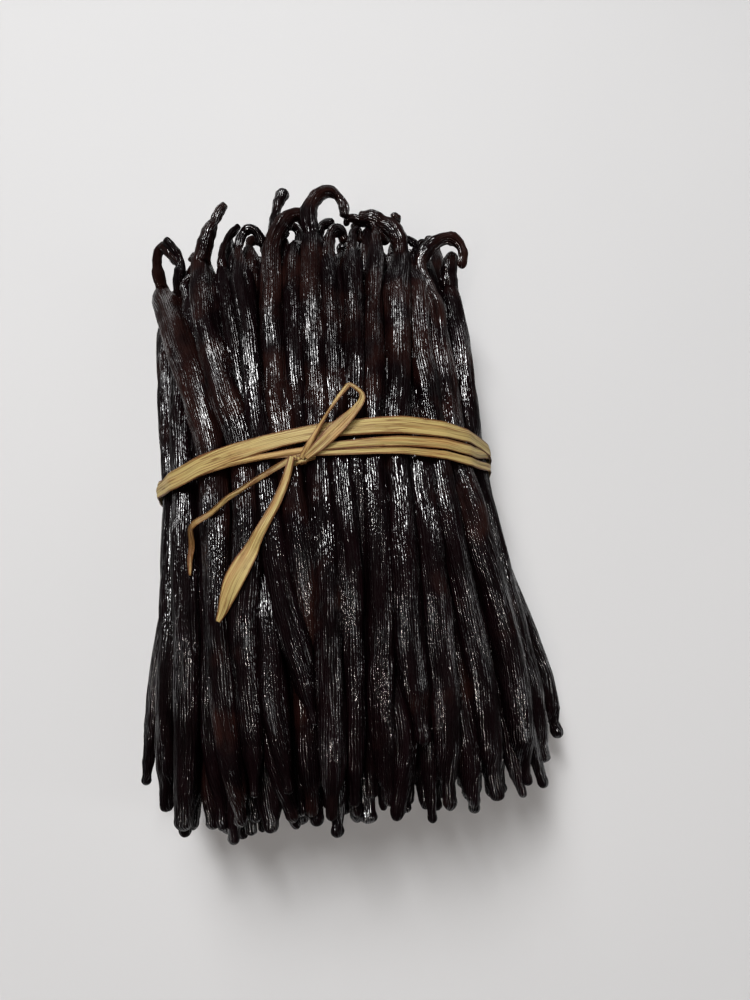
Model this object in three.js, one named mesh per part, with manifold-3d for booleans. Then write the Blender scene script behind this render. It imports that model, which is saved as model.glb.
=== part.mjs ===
// A bundle of cured vanilla pods, tied round the middle with a strip of raffia.
//
// Millimetres. +Y runs along the pods towards their hooked stem ends, +Z is up, and the bundle
// lies on the plane z = 0. Every shape is first laid out from the tie, whose middle is y = 0,
// and the finished group is moved so that the origin is under the middle of the whole bundle.

import * as THREE from 'three';
import { mergeVertices } from 'three/addons/utils/BufferGeometryUtils.js';
import Module from 'manifold-3d';

const wasm = await Module();
wasm.setup();

// ---------------------------------------------------------------- driving dimensions

// The heap of pods at stations along its length: y, half width, height of the top,
// and how far the outline would reach below the floor if the floor did not flatten it.
const STATIONS = [
  { y: -80, halfWidth: 49.5, top: 49, sink: 1.5 },
  { y: -62, halfWidth: 50.0, top: 52, sink: 1.6 },
  { y: -38, halfWidth: 47.5, top: 55.5, sink: 1.6 },
  { y: -14, halfWidth: 44.6, top: 57, sink: 0.4 },
  { y: -8, halfWidth: 43.8, top: 56.4, sink: -1.4 },
  { y: 6, halfWidth: 43.8, top: 56.4, sink: -1.4 },
  { y: 13, halfWidth: 44.6, top: 57, sink: 0.4 },
  { y: 36, halfWidth: 45.6, top: 56, sink: 1.6 },
  { y: 58, halfWidth: 45.4, top: 51.5, sink: 1.5 },
];
const WALL_RINGS = [-80, -70, -58, -44, -30, -18, -9, 7, 14, 26, 38, 49, 58];
const TOP_SQUARENESS = 2.2;   // power of the upper half's superellipse: 2 is an ellipse
const FOOT_SQUARENESS = 2.9;  // the lower half is boxier, where the pods settle on the floor
const WAIST_SHARE = 0.46;     // height of the widest place, as a share of the whole height

const PODS_ROUND = 32;        // pods that show round the outside
const GROOVE = 2.5;           // depth of the valley between two neighbouring pods
const SHOULDER = 0.5;         // how far a pod's side lies below its crown, a quarter way across
const LIFT = 0.9;             // how far a pod rides above or sinks below the others
const WANDER = 0.28;          // sideways drift of a pod, as a share of its own width
const BLOSSOM_RAGGED = 3.5;   // how far the pods' blossom ends lie out of line
const STEM_RAGGED = 2.5;      // the same at the stem end

const NECK_RADIUS = 1.7;      // the thin neck at a pod's stem end
const NECK_ROOT_Y = 46;       // where a neck starts, inside the heap
const NECK_SIDES = 6;

const STRAND = 0.7;           // thickness of the raffia
const TIE_GAP = 0.6;          // space between the raffia and the crowns of the pods
const TIE_STEPS = 44;
const KNOT = { x: -5, y: -3.4, radii: [3.2, 2.6, 1.5] };

const POD_COLOUR = 0x1d1210;
const RAFFIA_COLOUR = 0xb58a4c;

// ---------------------------------------------------------------- small helpers

// The same number between -1 and 1 every time for the same pair of counts.
function scatter(a, b) {
  const wave = Math.sin(a * 127.1 + b * 311.7) * 43758.5453;
  return 2 * (wave - Math.floor(wave)) - 1;
}

// One value of the heap's outline at y, eased between the stations on each side.
function heapValue(y, key) {
  const first = STATIONS[0];
  const last = STATIONS[STATIONS.length - 1];
  if (y <= first.y) return first[key];
  if (y >= last.y) return last[key];
  const next = STATIONS.findIndex((station) => station.y >= y);
  const low = STATIONS[next - 1];
  const high = STATIONS[next];
  return THREE.MathUtils.lerp(low[key], high[key], (y - low.y) / (high.y - low.y));
}

// A point of the heap's smooth outline at y. The angle runs from +X over the top.
function outline(y, angle, outset = 0) {
  const halfWidth = heapValue(y, 'halfWidth');
  const top = heapValue(y, 'top');
  const sink = heapValue(y, 'sink');
  const middle = WAIST_SHARE * (top + sink) - sink;
  const s = Math.sin(angle);
  const c = Math.cos(angle);
  const reach = s > 0 ? top - middle : middle + sink;
  const power = 2 / (s > 0 ? TOP_SQUARENESS : FOOT_SQUARENESS);
  const x = halfWidth * Math.sign(c) * Math.abs(c) ** power;
  const z = middle + reach * Math.sign(s) * Math.abs(s) ** power;
  const normal = new THREE.Vector2(c * reach, s * halfWidth).normalize();
  return new THREE.Vector3(x + outset * normal.x, y, z + outset * normal.y);
}

// Height of the heap's smooth top over a point (x, y).
function topAt(x, y) {
  const top = heapValue(y, 'top');
  const sink = heapValue(y, 'sink');
  const middle = WAIST_SHARE * (top + sink) - sink;
  const across = Math.min(Math.abs(x) / heapValue(y, 'halfWidth'), 1) ** TOP_SQUARENESS;
  return middle + (top - middle) * (1 - across) ** (1 / TOP_SQUARENESS);
}

// Angles that cut the outline at the tie into equal lengths.
function evenAngles(count) {
  const fine = 720;
  const lengths = [0];
  for (let i = 1; i <= fine; i += 1) {
    const before = outline(0, ((i - 1) / fine) * 2 * Math.PI);
    const here = outline(0, (i / fine) * 2 * Math.PI);
    lengths.push(lengths[i - 1] + here.distanceTo(before));
  }
  const angles = [];
  for (let i = 0; i < count; i += 1) {
    const wanted = (i / count) * lengths[fine];
    const at = lengths.findIndex((length) => length > wanted) - 1;
    const share = (wanted - lengths[at]) / (lengths[at + 1] - lengths[at]);
    angles.push(((at + share) / fine) * 2 * Math.PI);
  }
  return angles;
}

// A closed skin over rings of points, with a fan to a middle point at each end.
function skinOverRings(rings, startMiddle, endMiddle) {
  const count = rings[0].length;
  const points = [startMiddle, ...rings.flat(), endMiddle];
  const last = points.length - 1;
  const triangles = [];
  for (let i = 0; i < count; i += 1) {
    const next = (i + 1) % count;
    triangles.push(0, 1 + i, 1 + next);
    for (let j = 0; j < rings.length - 1; j += 1) {
      const a = 1 + j * count;
      const b = a + count;
      triangles.push(a + i, b + i, b + next, a + i, b + next, a + next);
    }
    const end = 1 + (rings.length - 1) * count;
    triangles.push(last, end + next, end + i);
  }
  const geometry = new THREE.BufferGeometry().setFromPoints(points);
  geometry.setIndex(triangles);
  return geometry;
}

// A closed mesh as a solid that can be joined to others.
function toSolid(source) {
  let geometry = source.clone();
  geometry.deleteAttribute('normal');
  geometry.deleteAttribute('uv');
  geometry = mergeVertices(geometry, 1e-4);
  return new wasm.Manifold(new wasm.Mesh({
    numProp: 3,
    vertProperties: new Float32Array(geometry.attributes.position.array),
    triVerts: new Uint32Array(geometry.index.array),
  }));
}

// One geometry from several overlapping closed ones.
function joined(geometries) {
  let whole = toSolid(geometries[0]);
  for (const geometry of geometries.slice(1)) whole = whole.add(toSolid(geometry));
  const mesh = whole.getMesh();
  const result = new THREE.BufferGeometry();
  result.setAttribute('position', new THREE.BufferAttribute(mesh.vertProperties, 3));
  result.setIndex(new THREE.BufferAttribute(mesh.triVerts, 1));
  return result;
}

// A round tube along a curve, with a radius for each share of its length, closed at both ends.
function taperedTube(points, radiusAt, steps, sides) {
  const curve = new THREE.CatmullRomCurve3(points);
  const frames = curve.computeFrenetFrames(steps, false);
  const rings = [];
  for (let j = 0; j <= steps; j += 1) {
    const centre = curve.getPointAt(j / steps);
    const radius = radiusAt(j / steps);
    const ring = [];
    for (let i = 0; i < sides; i += 1) {
      const angle = (i / sides) * 2 * Math.PI;
      const point = centre.clone();
      point.addScaledVector(frames.normals[j], -radius * Math.cos(angle));
      point.addScaledVector(frames.binormals[j], radius * Math.sin(angle));
      ring.push(point);
    }
    rings.push(ring);
  }
  const start = curve.getPointAt(0).addScaledVector(frames.tangents[0], -0.4 * radiusAt(0));
  const end = curve.getPointAt(1).addScaledVector(frames.tangents[steps], 0.4 * radiusAt(1));
  return skinOverRings(rings, start, end);
}

// An egg shape, turned about an axis and stretched to three radii.
function egg(centre, radii, sides, steps) {
  const profile = [];
  for (let i = 0; i <= steps; i += 1) {
    const angle = -Math.PI / 2 + (i / steps) * Math.PI;
    const onAxis = i === 0 || i === steps;
    profile.push(new THREE.Vector2(onAxis ? 0 : Math.cos(angle), Math.sin(angle)));
  }
  const geometry = new THREE.LatheGeometry(profile, sides);
  geometry.scale(...radii);
  geometry.translate(centre.x, centre.y, centre.z);
  return geometry;
}

// ---------------------------------------------------------------- the heap of pods

const POD_EDGES = evenAngles(PODS_ROUND);

// The ring of points round the heap at y: for each pod its groove, shoulder, crown and shoulder.
function wallRing(y) {
  const free = THREE.MathUtils.smoothstep(Math.abs(y), 8, 26);
  const ring = [];
  for (let pod = 0; pod < PODS_ROUND; pod += 1) {
    const here = POD_EDGES[pod];
    const width = (pod + 1 < PODS_ROUND ? POD_EDGES[pod + 1] : POD_EDGES[0] + 2 * Math.PI) - here;
    for (let quarter = 0; quarter < 4; quarter += 1) {
      const drift = WANDER * Math.sin(y / 31 + 2.6 * scatter(pod, quarter === 0 ? 1 : 2));
      const angle = here + width * (quarter / 4 + drift * (quarter === 0 ? 0.5 : 0.35));
      const ride = LIFT * free * Math.sin(y / 24 + 3 * scatter(pod, 3));
      const depth = [GROOVE, SHOULDER, 0, SHOULDER][quarter];
      const point = outline(y, angle, ride - depth);
      point.z = Math.max(point.z, 0);
      ring.push(point);
    }
  }
  return ring;
}

// How far along Y a pod's end stands out from its neighbours' ends.
function endOffset(index, seed, ragged) {
  const pod = Math.floor(index / 4);
  const inGroove = index % 4 === 0;
  return ragged * scatter(pod, seed) - (inGroove ? ragged : 0);
}

// Rings that close one end, each smaller than the last, with the pods' ends as bumps.
function endRings(wall, side, ragged, seed) {
  const height = heapValue(wall[0].y, 'top');
  const middle = new THREE.Vector3(0, wall[0].y, height / 2);
  const closing = [
    { scale: 1, out: 0 },
    { scale: 0.93, out: 3.2 },
    { scale: 0.62, out: 2.4 },
    { scale: 0.3, out: 3 },
  ];
  const rings = closing.map(({ scale, out }, layer) => wall.map((point, index) => {
    const wide = endOffset(index, seed, ragged);
    const inner = ragged * scatter(Math.floor(index / 8), seed + layer);
    const bump = layer < 2 ? wide : inner;
    const moved = middle.clone().lerp(point, scale);
    moved.y = point.y + side * (out + bump);
    return moved;
  }));
  return { rings, middle: middle.clone().setY(middle.y + side * 3) };
}

function heapBody() {
  const walls = WALL_RINGS.map(wallRing);
  const blossom = endRings(walls[0], -1, BLOSSOM_RAGGED, 11);
  const stem = endRings(walls[walls.length - 1], 1, STEM_RAGGED, 17);
  const rings = [...blossom.rings.reverse(), ...walls.slice(1, -1), ...stem.rings];
  return skinOverRings(rings, blossom.middle, stem.middle);
}

// A pod's neck: straight out of the heap, then curled over towards `heading`, an angle in the
// XZ plane (0 is +X, 90 is up). `reach` is where the curl starts, `curl` its radius and
// `sweep` how many degrees it turns through.
function neck({ x, z, lean, reach, curl, sweep, heading }) {
  const aim = THREE.MathUtils.degToRad(heading);
  const across = new THREE.Vector3(Math.cos(aim), 0, Math.sin(aim));
  const along = new THREE.Vector3(0, 1, 0);
  const root = new THREE.Vector3(x, NECK_ROOT_Y, z);
  const bend = new THREE.Vector3(x + lean, reach, z);
  const points = [root, root.clone().lerp(bend, 0.5), bend];
  const turns = Math.max(1, Math.round(sweep / 45));
  for (let i = 1; i <= turns; i += 1) {
    const angle = THREE.MathUtils.degToRad((sweep * i) / turns);
    const point = bend.clone();
    point.addScaledVector(across, curl * (1 - Math.cos(angle)));
    point.addScaledVector(along, curl * Math.sin(angle));
    points.push(point);
  }
  const radiusAt = (share) => NECK_RADIUS * (1.25 - 0.45 * share);
  return taperedTube(points, radiusAt, 3 + turns, NECK_SIDES);
}

// The necks that stand clear of the heap along its top, from left to right.
const TOP_NECKS = [
  { x: -40, z: 34, lean: -1, reach: 69, curl: 2.8, sweep: 180, heading: 0 },
  { x: -34, z: 38, lean: 0, reach: 66, curl: 2.2, sweep: 120, heading: 20 },
  { x: -28, z: 42, lean: 1, reach: 62, curl: 2.4, sweep: 150, heading: 60 },
  { x: -21, z: 44, lean: 2, reach: 75, curl: 3, sweep: 20, heading: 0 },
  { x: -15, z: 46, lean: -1, reach: 66, curl: 2.2, sweep: 170, heading: 180 },
  { x: -10, z: 46, lean: -1, reach: 64, curl: 2.2, sweep: 170, heading: 0 },
  { x: -4, z: 46, lean: 1, reach: 75, curl: 2, sweep: 30, heading: 0 },
  { x: 3, z: 46, lean: 1, reach: 72, curl: 3.8, sweep: 190, heading: 0 },
  { x: 15, z: 46, lean: 1, reach: 67, curl: 2.2, sweep: 90, heading: 0 },
  { x: 24, z: 44, lean: -1, reach: 65, curl: 4.2, sweep: 120, heading: 180 },
  { x: 30, z: 41, lean: 0, reach: 62, curl: 2.3, sweep: 200, heading: 0 },
  { x: 37.5, z: 33.5, lean: 0.5, reach: 62, curl: 4.2, sweep: 200, heading: -10 },
];

// Necks at the sides and lower down, as a loop over the end of the heap.
function lowerNecks() {
  const count = 9;
  return Array.from({ length: count }, (_, i) => ({
    x: -34 + (68 * i) / (count - 1),
    z: 15 + 8 * scatter(i, 21),
    lean: 2 * scatter(i, 22),
    reach: 67 + 4 * scatter(i, 23),
    curl: 2.8 + 0.8 * scatter(i, 24),
    sweep: 150 + 40 * scatter(i, 25),
    heading: 90 + 85 * scatter(i, 26),
  }));
}

// A pod at the heap's foot that splays out sideways past the others.
function splayedPod(side) {
  const points = [
    new THREE.Vector3(side * 43, -30, 18),
    new THREE.Vector3(side * 48.5, -54, 16),
    new THREE.Vector3(side * 53, -75, 13),
  ];
  const radiusAt = (share) => 3.6 - 1.2 * share;
  return taperedTube(points, radiusAt, 5, 8);
}

// The swollen scar that stands out at some pods' blossom ends.
function blossomKnobs() {
  const places = [-42, -26, -8, 12, 29, 41];
  return places.map((x, i) => {
    const y = -83 + 1.5 * scatter(i, 31);
    return egg(new THREE.Vector3(x, y, 0.72 * topAt(x, -80)), [2.4, 6, 2.2], 6, 4);
  });
}

function podBundle() {
  const necks = [...TOP_NECKS, ...lowerNecks()].map(neck);
  const geometry = joined([
    heapBody(),
    ...necks,
    splayedPod(-1),
    splayedPod(1),
    ...blossomKnobs(),
  ]);
  const material = new THREE.MeshStandardMaterial({ color: POD_COLOUR, roughness: 0.38, metalness: 0 });
  const mesh = new THREE.Mesh(geometry, material);
  mesh.name = 'pod_bundle';
  return mesh;
}

// ---------------------------------------------------------------- the raffia tie

const TIE_ANGLES = evenAngles(TIE_STEPS);

// One turn of raffia round the heap: its middle and its width, as functions of the angle.
function turnOfRaffia(middleAt, widthAt) {
  const rings = TIE_ANGLES.map((angle) => {
    const middle = middleAt(angle);
    const half = widthAt(angle) / 2;
    const inner = outline(0, angle, TIE_GAP);
    const outer = outline(0, angle, TIE_GAP + STRAND);
    return [
      inner.clone().setY(middle - half),
      inner.clone().setY(middle + half),
      outer.clone().setY(middle + half),
      outer.clone().setY(middle - half),
    ];
  });
  const triangles = [];
  const count = rings.length;
  for (let j = 0; j < count; j += 1) {
    const a = 4 * j;
    const b = 4 * ((j + 1) % count);
    for (let i = 0; i < 4; i += 1) {
      const next = (i + 1) % 4;
      triangles.push(a + i, b + i, b + next, a + i, b + next, a + next);
    }
  }
  const geometry = new THREE.BufferGeometry().setFromPoints(rings.flat());
  geometry.setIndex(triangles);
  return geometry;
}

// A free strip of raffia: a flat section carried along points given as [x, y, height over heap].
function freeStrip(route, widthAt, steps) {
  const points = route.map(([x, y, over]) => new THREE.Vector3(x, y, topAt(x, y) + over));
  const curve = new THREE.CatmullRomCurve3(points);
  const up = new THREE.Vector3(0, 0, 1);
  const rings = [];
  for (let j = 0; j <= steps; j += 1) {
    const centre = curve.getPointAt(j / steps);
    const across = curve.getTangentAt(j / steps).cross(up).normalize();
    const half = widthAt(j / steps) / 2;
    const corners = [[-half, 0], [half, 0], [half, STRAND], [-half, STRAND]];
    rings.push(corners.map(([side, rise]) => {
      const corner = centre.clone().addScaledVector(across, side);
      corner.z += rise;
      return corner;
    }));
  }
  const start = rings[0][0].clone().lerp(rings[0][2], 0.5);
  const end = rings[steps][0].clone().lerp(rings[steps][2], 0.5);
  return skinOverRings(rings, start, end);
}

function raffiaTie() {
  const wide = turnOfRaffia((a) => 0.6 + 0.9 * Math.cos(a - 0.9), () => 5);
  const middle = turnOfRaffia((a) => -2.6 + 1.3 * Math.cos(2 * a + 1.1), () => 2.8);
  const thin = turnOfRaffia((a) => -4.8 - 1.1 * Math.cos(a + 0.4), () => 2);

  const over = 1.9;
  const knotTop = new THREE.Vector3(KNOT.x, KNOT.y, topAt(KNOT.x, KNOT.y) + TIE_GAP + 1.7);
  const knot = egg(knotTop, KNOT.radii, 8, 5);

  const loopRoute = [
    [KNOT.x, KNOT.y, over],
    [0, 4.5, over + 0.6],
    [5, 9, over + 1.2],
    [8.7, 12.3, over + 1.4],
    [11.4, 10.4, over + 1.4],
    [7.5, 4.2, over + 1],
    [KNOT.x + 1.5, KNOT.y - 0.5, over],
  ];
  const loop = freeStrip(loopRoute, (share) => 1.5 + 1.3 * share, 18);

  const wideTail = freeStrip([
    [KNOT.x, KNOT.y, over],
    [-8.6, -12, over],
    [-16.6, -24, over],
    [-23.5, -34, over],
    [-27.5, -39.3, over],
  ], (share) => 2 + 3.6 * Math.sin(Math.PI * Math.min(share * 0.85, 1)), 9);

  const thinTail = freeStrip([
    [KNOT.x, KNOT.y, over],
    [-19, -9, over],
    [-32, -15.4, over],
    [-35.4, -19, over],
    [-36, -25, over],
  ], () => 1.4, 9);

  const geometry = joined([wide, middle, thin, knot, loop, wideTail, thinTail]);
  const material = new THREE.MeshStandardMaterial({ color: RAFFIA_COLOUR, roughness: 0.7, metalness: 0 });
  const mesh = new THREE.Mesh(geometry, material);
  mesh.name = 'raffia_tie';
  return mesh;
}

// ---------------------------------------------------------------- the whole bundle

const bundle = new THREE.Group();
bundle.add(podBundle(), raffiaTie());

// Bring the middle of the bundle's box over the origin, with its underside on z = 0.
const box = new THREE.Box3().setFromObject(bundle);
const centre = box.getCenter(new THREE.Vector3());
bundle.position.set(-centre.x, -centre.y, -box.min.z);

export default bundle;
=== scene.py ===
# %% [markdown]
# # A bundle of vanilla pods, tied with raffia
#
# More than a hundred cured vanilla pods lie side by side in a bundle 17 cm long, with their
# hooked stem ends at one end and their small blossom scars at the other. Three turns of raffia
# hold them, with a knot, one loop and two loose tails on top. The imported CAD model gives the
# size and the place of everything.

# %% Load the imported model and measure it
import math
from collections import namedtuple

import bpy
import numpy as np
from mathutils import Euler, Matrix, Vector


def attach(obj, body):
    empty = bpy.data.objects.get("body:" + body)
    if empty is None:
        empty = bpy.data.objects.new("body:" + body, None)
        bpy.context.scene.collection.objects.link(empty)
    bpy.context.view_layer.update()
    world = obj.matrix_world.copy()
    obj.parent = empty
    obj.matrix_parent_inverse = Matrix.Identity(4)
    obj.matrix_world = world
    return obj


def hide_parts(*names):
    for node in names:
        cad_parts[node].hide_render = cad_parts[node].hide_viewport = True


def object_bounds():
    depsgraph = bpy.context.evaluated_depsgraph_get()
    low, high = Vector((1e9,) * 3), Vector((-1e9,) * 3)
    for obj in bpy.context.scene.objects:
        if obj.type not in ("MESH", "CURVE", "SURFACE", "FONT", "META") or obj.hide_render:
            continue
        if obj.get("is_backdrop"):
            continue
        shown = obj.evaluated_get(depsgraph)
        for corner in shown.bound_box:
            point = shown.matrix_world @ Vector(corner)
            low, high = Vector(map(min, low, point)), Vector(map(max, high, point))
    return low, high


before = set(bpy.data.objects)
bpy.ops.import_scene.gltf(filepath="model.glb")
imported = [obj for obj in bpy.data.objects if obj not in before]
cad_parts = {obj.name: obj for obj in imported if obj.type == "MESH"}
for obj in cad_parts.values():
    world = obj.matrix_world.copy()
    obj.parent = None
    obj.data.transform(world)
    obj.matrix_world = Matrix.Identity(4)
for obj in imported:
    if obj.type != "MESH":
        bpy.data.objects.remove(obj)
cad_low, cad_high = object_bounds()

MM = 0.001
cad_size = (cad_high - cad_low) / MM
print(f"CAD box {cad_size.x:.1f} x {cad_size.y:.1f} x {cad_size.z:.1f} mm")

# %% [markdown]
# ## The camera comes first
#
# The camera stands 23 cm above the floor and looks down steeply. A lens this close makes near
# things larger, so its height matters as much as its angle. Pods are laid out from the tie,
# whose middle is `TIE_Y` from the origin.

# %% The camera
TIE_Y = 6.8            # mm, from the origin to the middle of the tie
CAMERA_PLACE = (6.5, -65.4, 230.0)   # mm, from the middle of the tie on the floor
CAMERA_TILT = 15.8     # degrees away from straight down
CAMERA_TURN = 6.2      # degrees clockwise, seen from above
LENS_SHARE = 0.78      # focal length as a share of the picture's height
SENSOR_HEIGHT = 36.0

camera_turn = Euler((math.radians(CAMERA_TILT), 0, -math.radians(CAMERA_TURN)))
camera_place = (Vector(CAMERA_PLACE) + Vector((0, TIE_Y, 0))) * MM
camera = bpy.data.objects.new("camera", bpy.data.cameras.new("camera"))
camera.data.sensor_fit = "VERTICAL"
camera.data.sensor_height = SENSOR_HEIGHT
camera.data.lens = LENS_SHARE * SENSOR_HEIGHT
camera.data.clip_start = 0.01
camera.matrix_world = Matrix.LocRotScale(camera_place, camera_turn, None)
bpy.context.collection.objects.link(camera)
bpy.context.scene.camera = camera
print("camera at", [round(c, 4) for c in camera.matrix_world.translation])

# %% [markdown]
# ## The outline that the pods fill
#
# Seen from its end, the bundle is a rounded heap: flat underneath, where it lies on the floor,
# and domed on top. Its section is a superellipse, and a few stations along the bundle say how
# wide and how high it is. The tie makes a slight waist.

# %% The heap's section at any place along the bundle
# In mm: places along the bundle, and at each one the half width, the height of the top, and how
# far the outline reaches below the floor, which flattens the underside.
STATION_Y = np.array([-80, -62, -38, -14, -8, 6, 13, 36, 58.0])
STATION_HALF_WIDTH = np.array([49.5, 50, 47.5, 44.6, 43.8, 43.8, 44.6, 45.6, 45.4])
STATION_TOP = np.array([49, 52, 55.5, 57, 56.4, 56.4, 57, 56, 51.5])
STATION_SINK = np.array([1.5, 1.6, 1.6, 0.4, -1.4, -1.4, 0.4, 1.6, 1.5])
TOP_POWER, FOOT_POWER = 2.2, 2.9    # 2 would be an ellipse, and a higher power is squarer
MIDDLE_SHARE = 0.46   # where the section is widest, as a share of its height
RIM = 0.995           # of the half width, where the top's curve is cut off


def section(y):
    """Half width, middle height, reach up and reach down of the heap's section at y."""
    half_width = np.interp(y, STATION_Y, STATION_HALF_WIDTH)
    top = np.interp(y, STATION_Y, STATION_TOP)
    sink = np.interp(y, STATION_Y, STATION_SINK)
    middle = MIDDLE_SHARE * (top + sink) - sink
    return half_width, middle, top - middle, middle + sink


def crown_height(x, y, inset=0.0):
    """Height of the heap's top over (x, y), for an outline drawn in by `inset`."""
    half_width, middle, reach, _ = section(y)
    across = np.clip(np.abs(x) / (half_width - inset), 0, RIM)
    return middle + (reach - inset) * (1 - across ** TOP_POWER) ** (1 / TOP_POWER)


print("section at the tie", [round(float(v), 1) for v in section(0.0)])

# %% [markdown]
# ## Which pods there are
#
# The pods on top are each described one by one, because the eye rests on them: how they cross the
# bundle, how thick they are, and how each stem end is hooked. All the others are drawn at
# random, just as unevenly, with a fixed seed so that the bundle is the same every time.

# %% The pods of the top layer, from left to right at the tie
ROUTE_Y = np.array([-80, -52, -20, 0, 26, 52.0])   # mm, where `x` and `depth` below are given

# x: six places across, at ROUTE_Y. radius: at the pod's thickest. depth: how far below the
# outline it rides, once or at each of ROUTE_Y. blossom, neck: y of its blossom end and of where
# its thin neck begins. tone: 0 is black-brown and 1 is red-brown. hook: the neck's own route,
# as x, y, z and thickness, or nothing where other pods hide it.
TopPod = namedtuple("TopPod", "x radius depth blossom neck tone hook")

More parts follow.
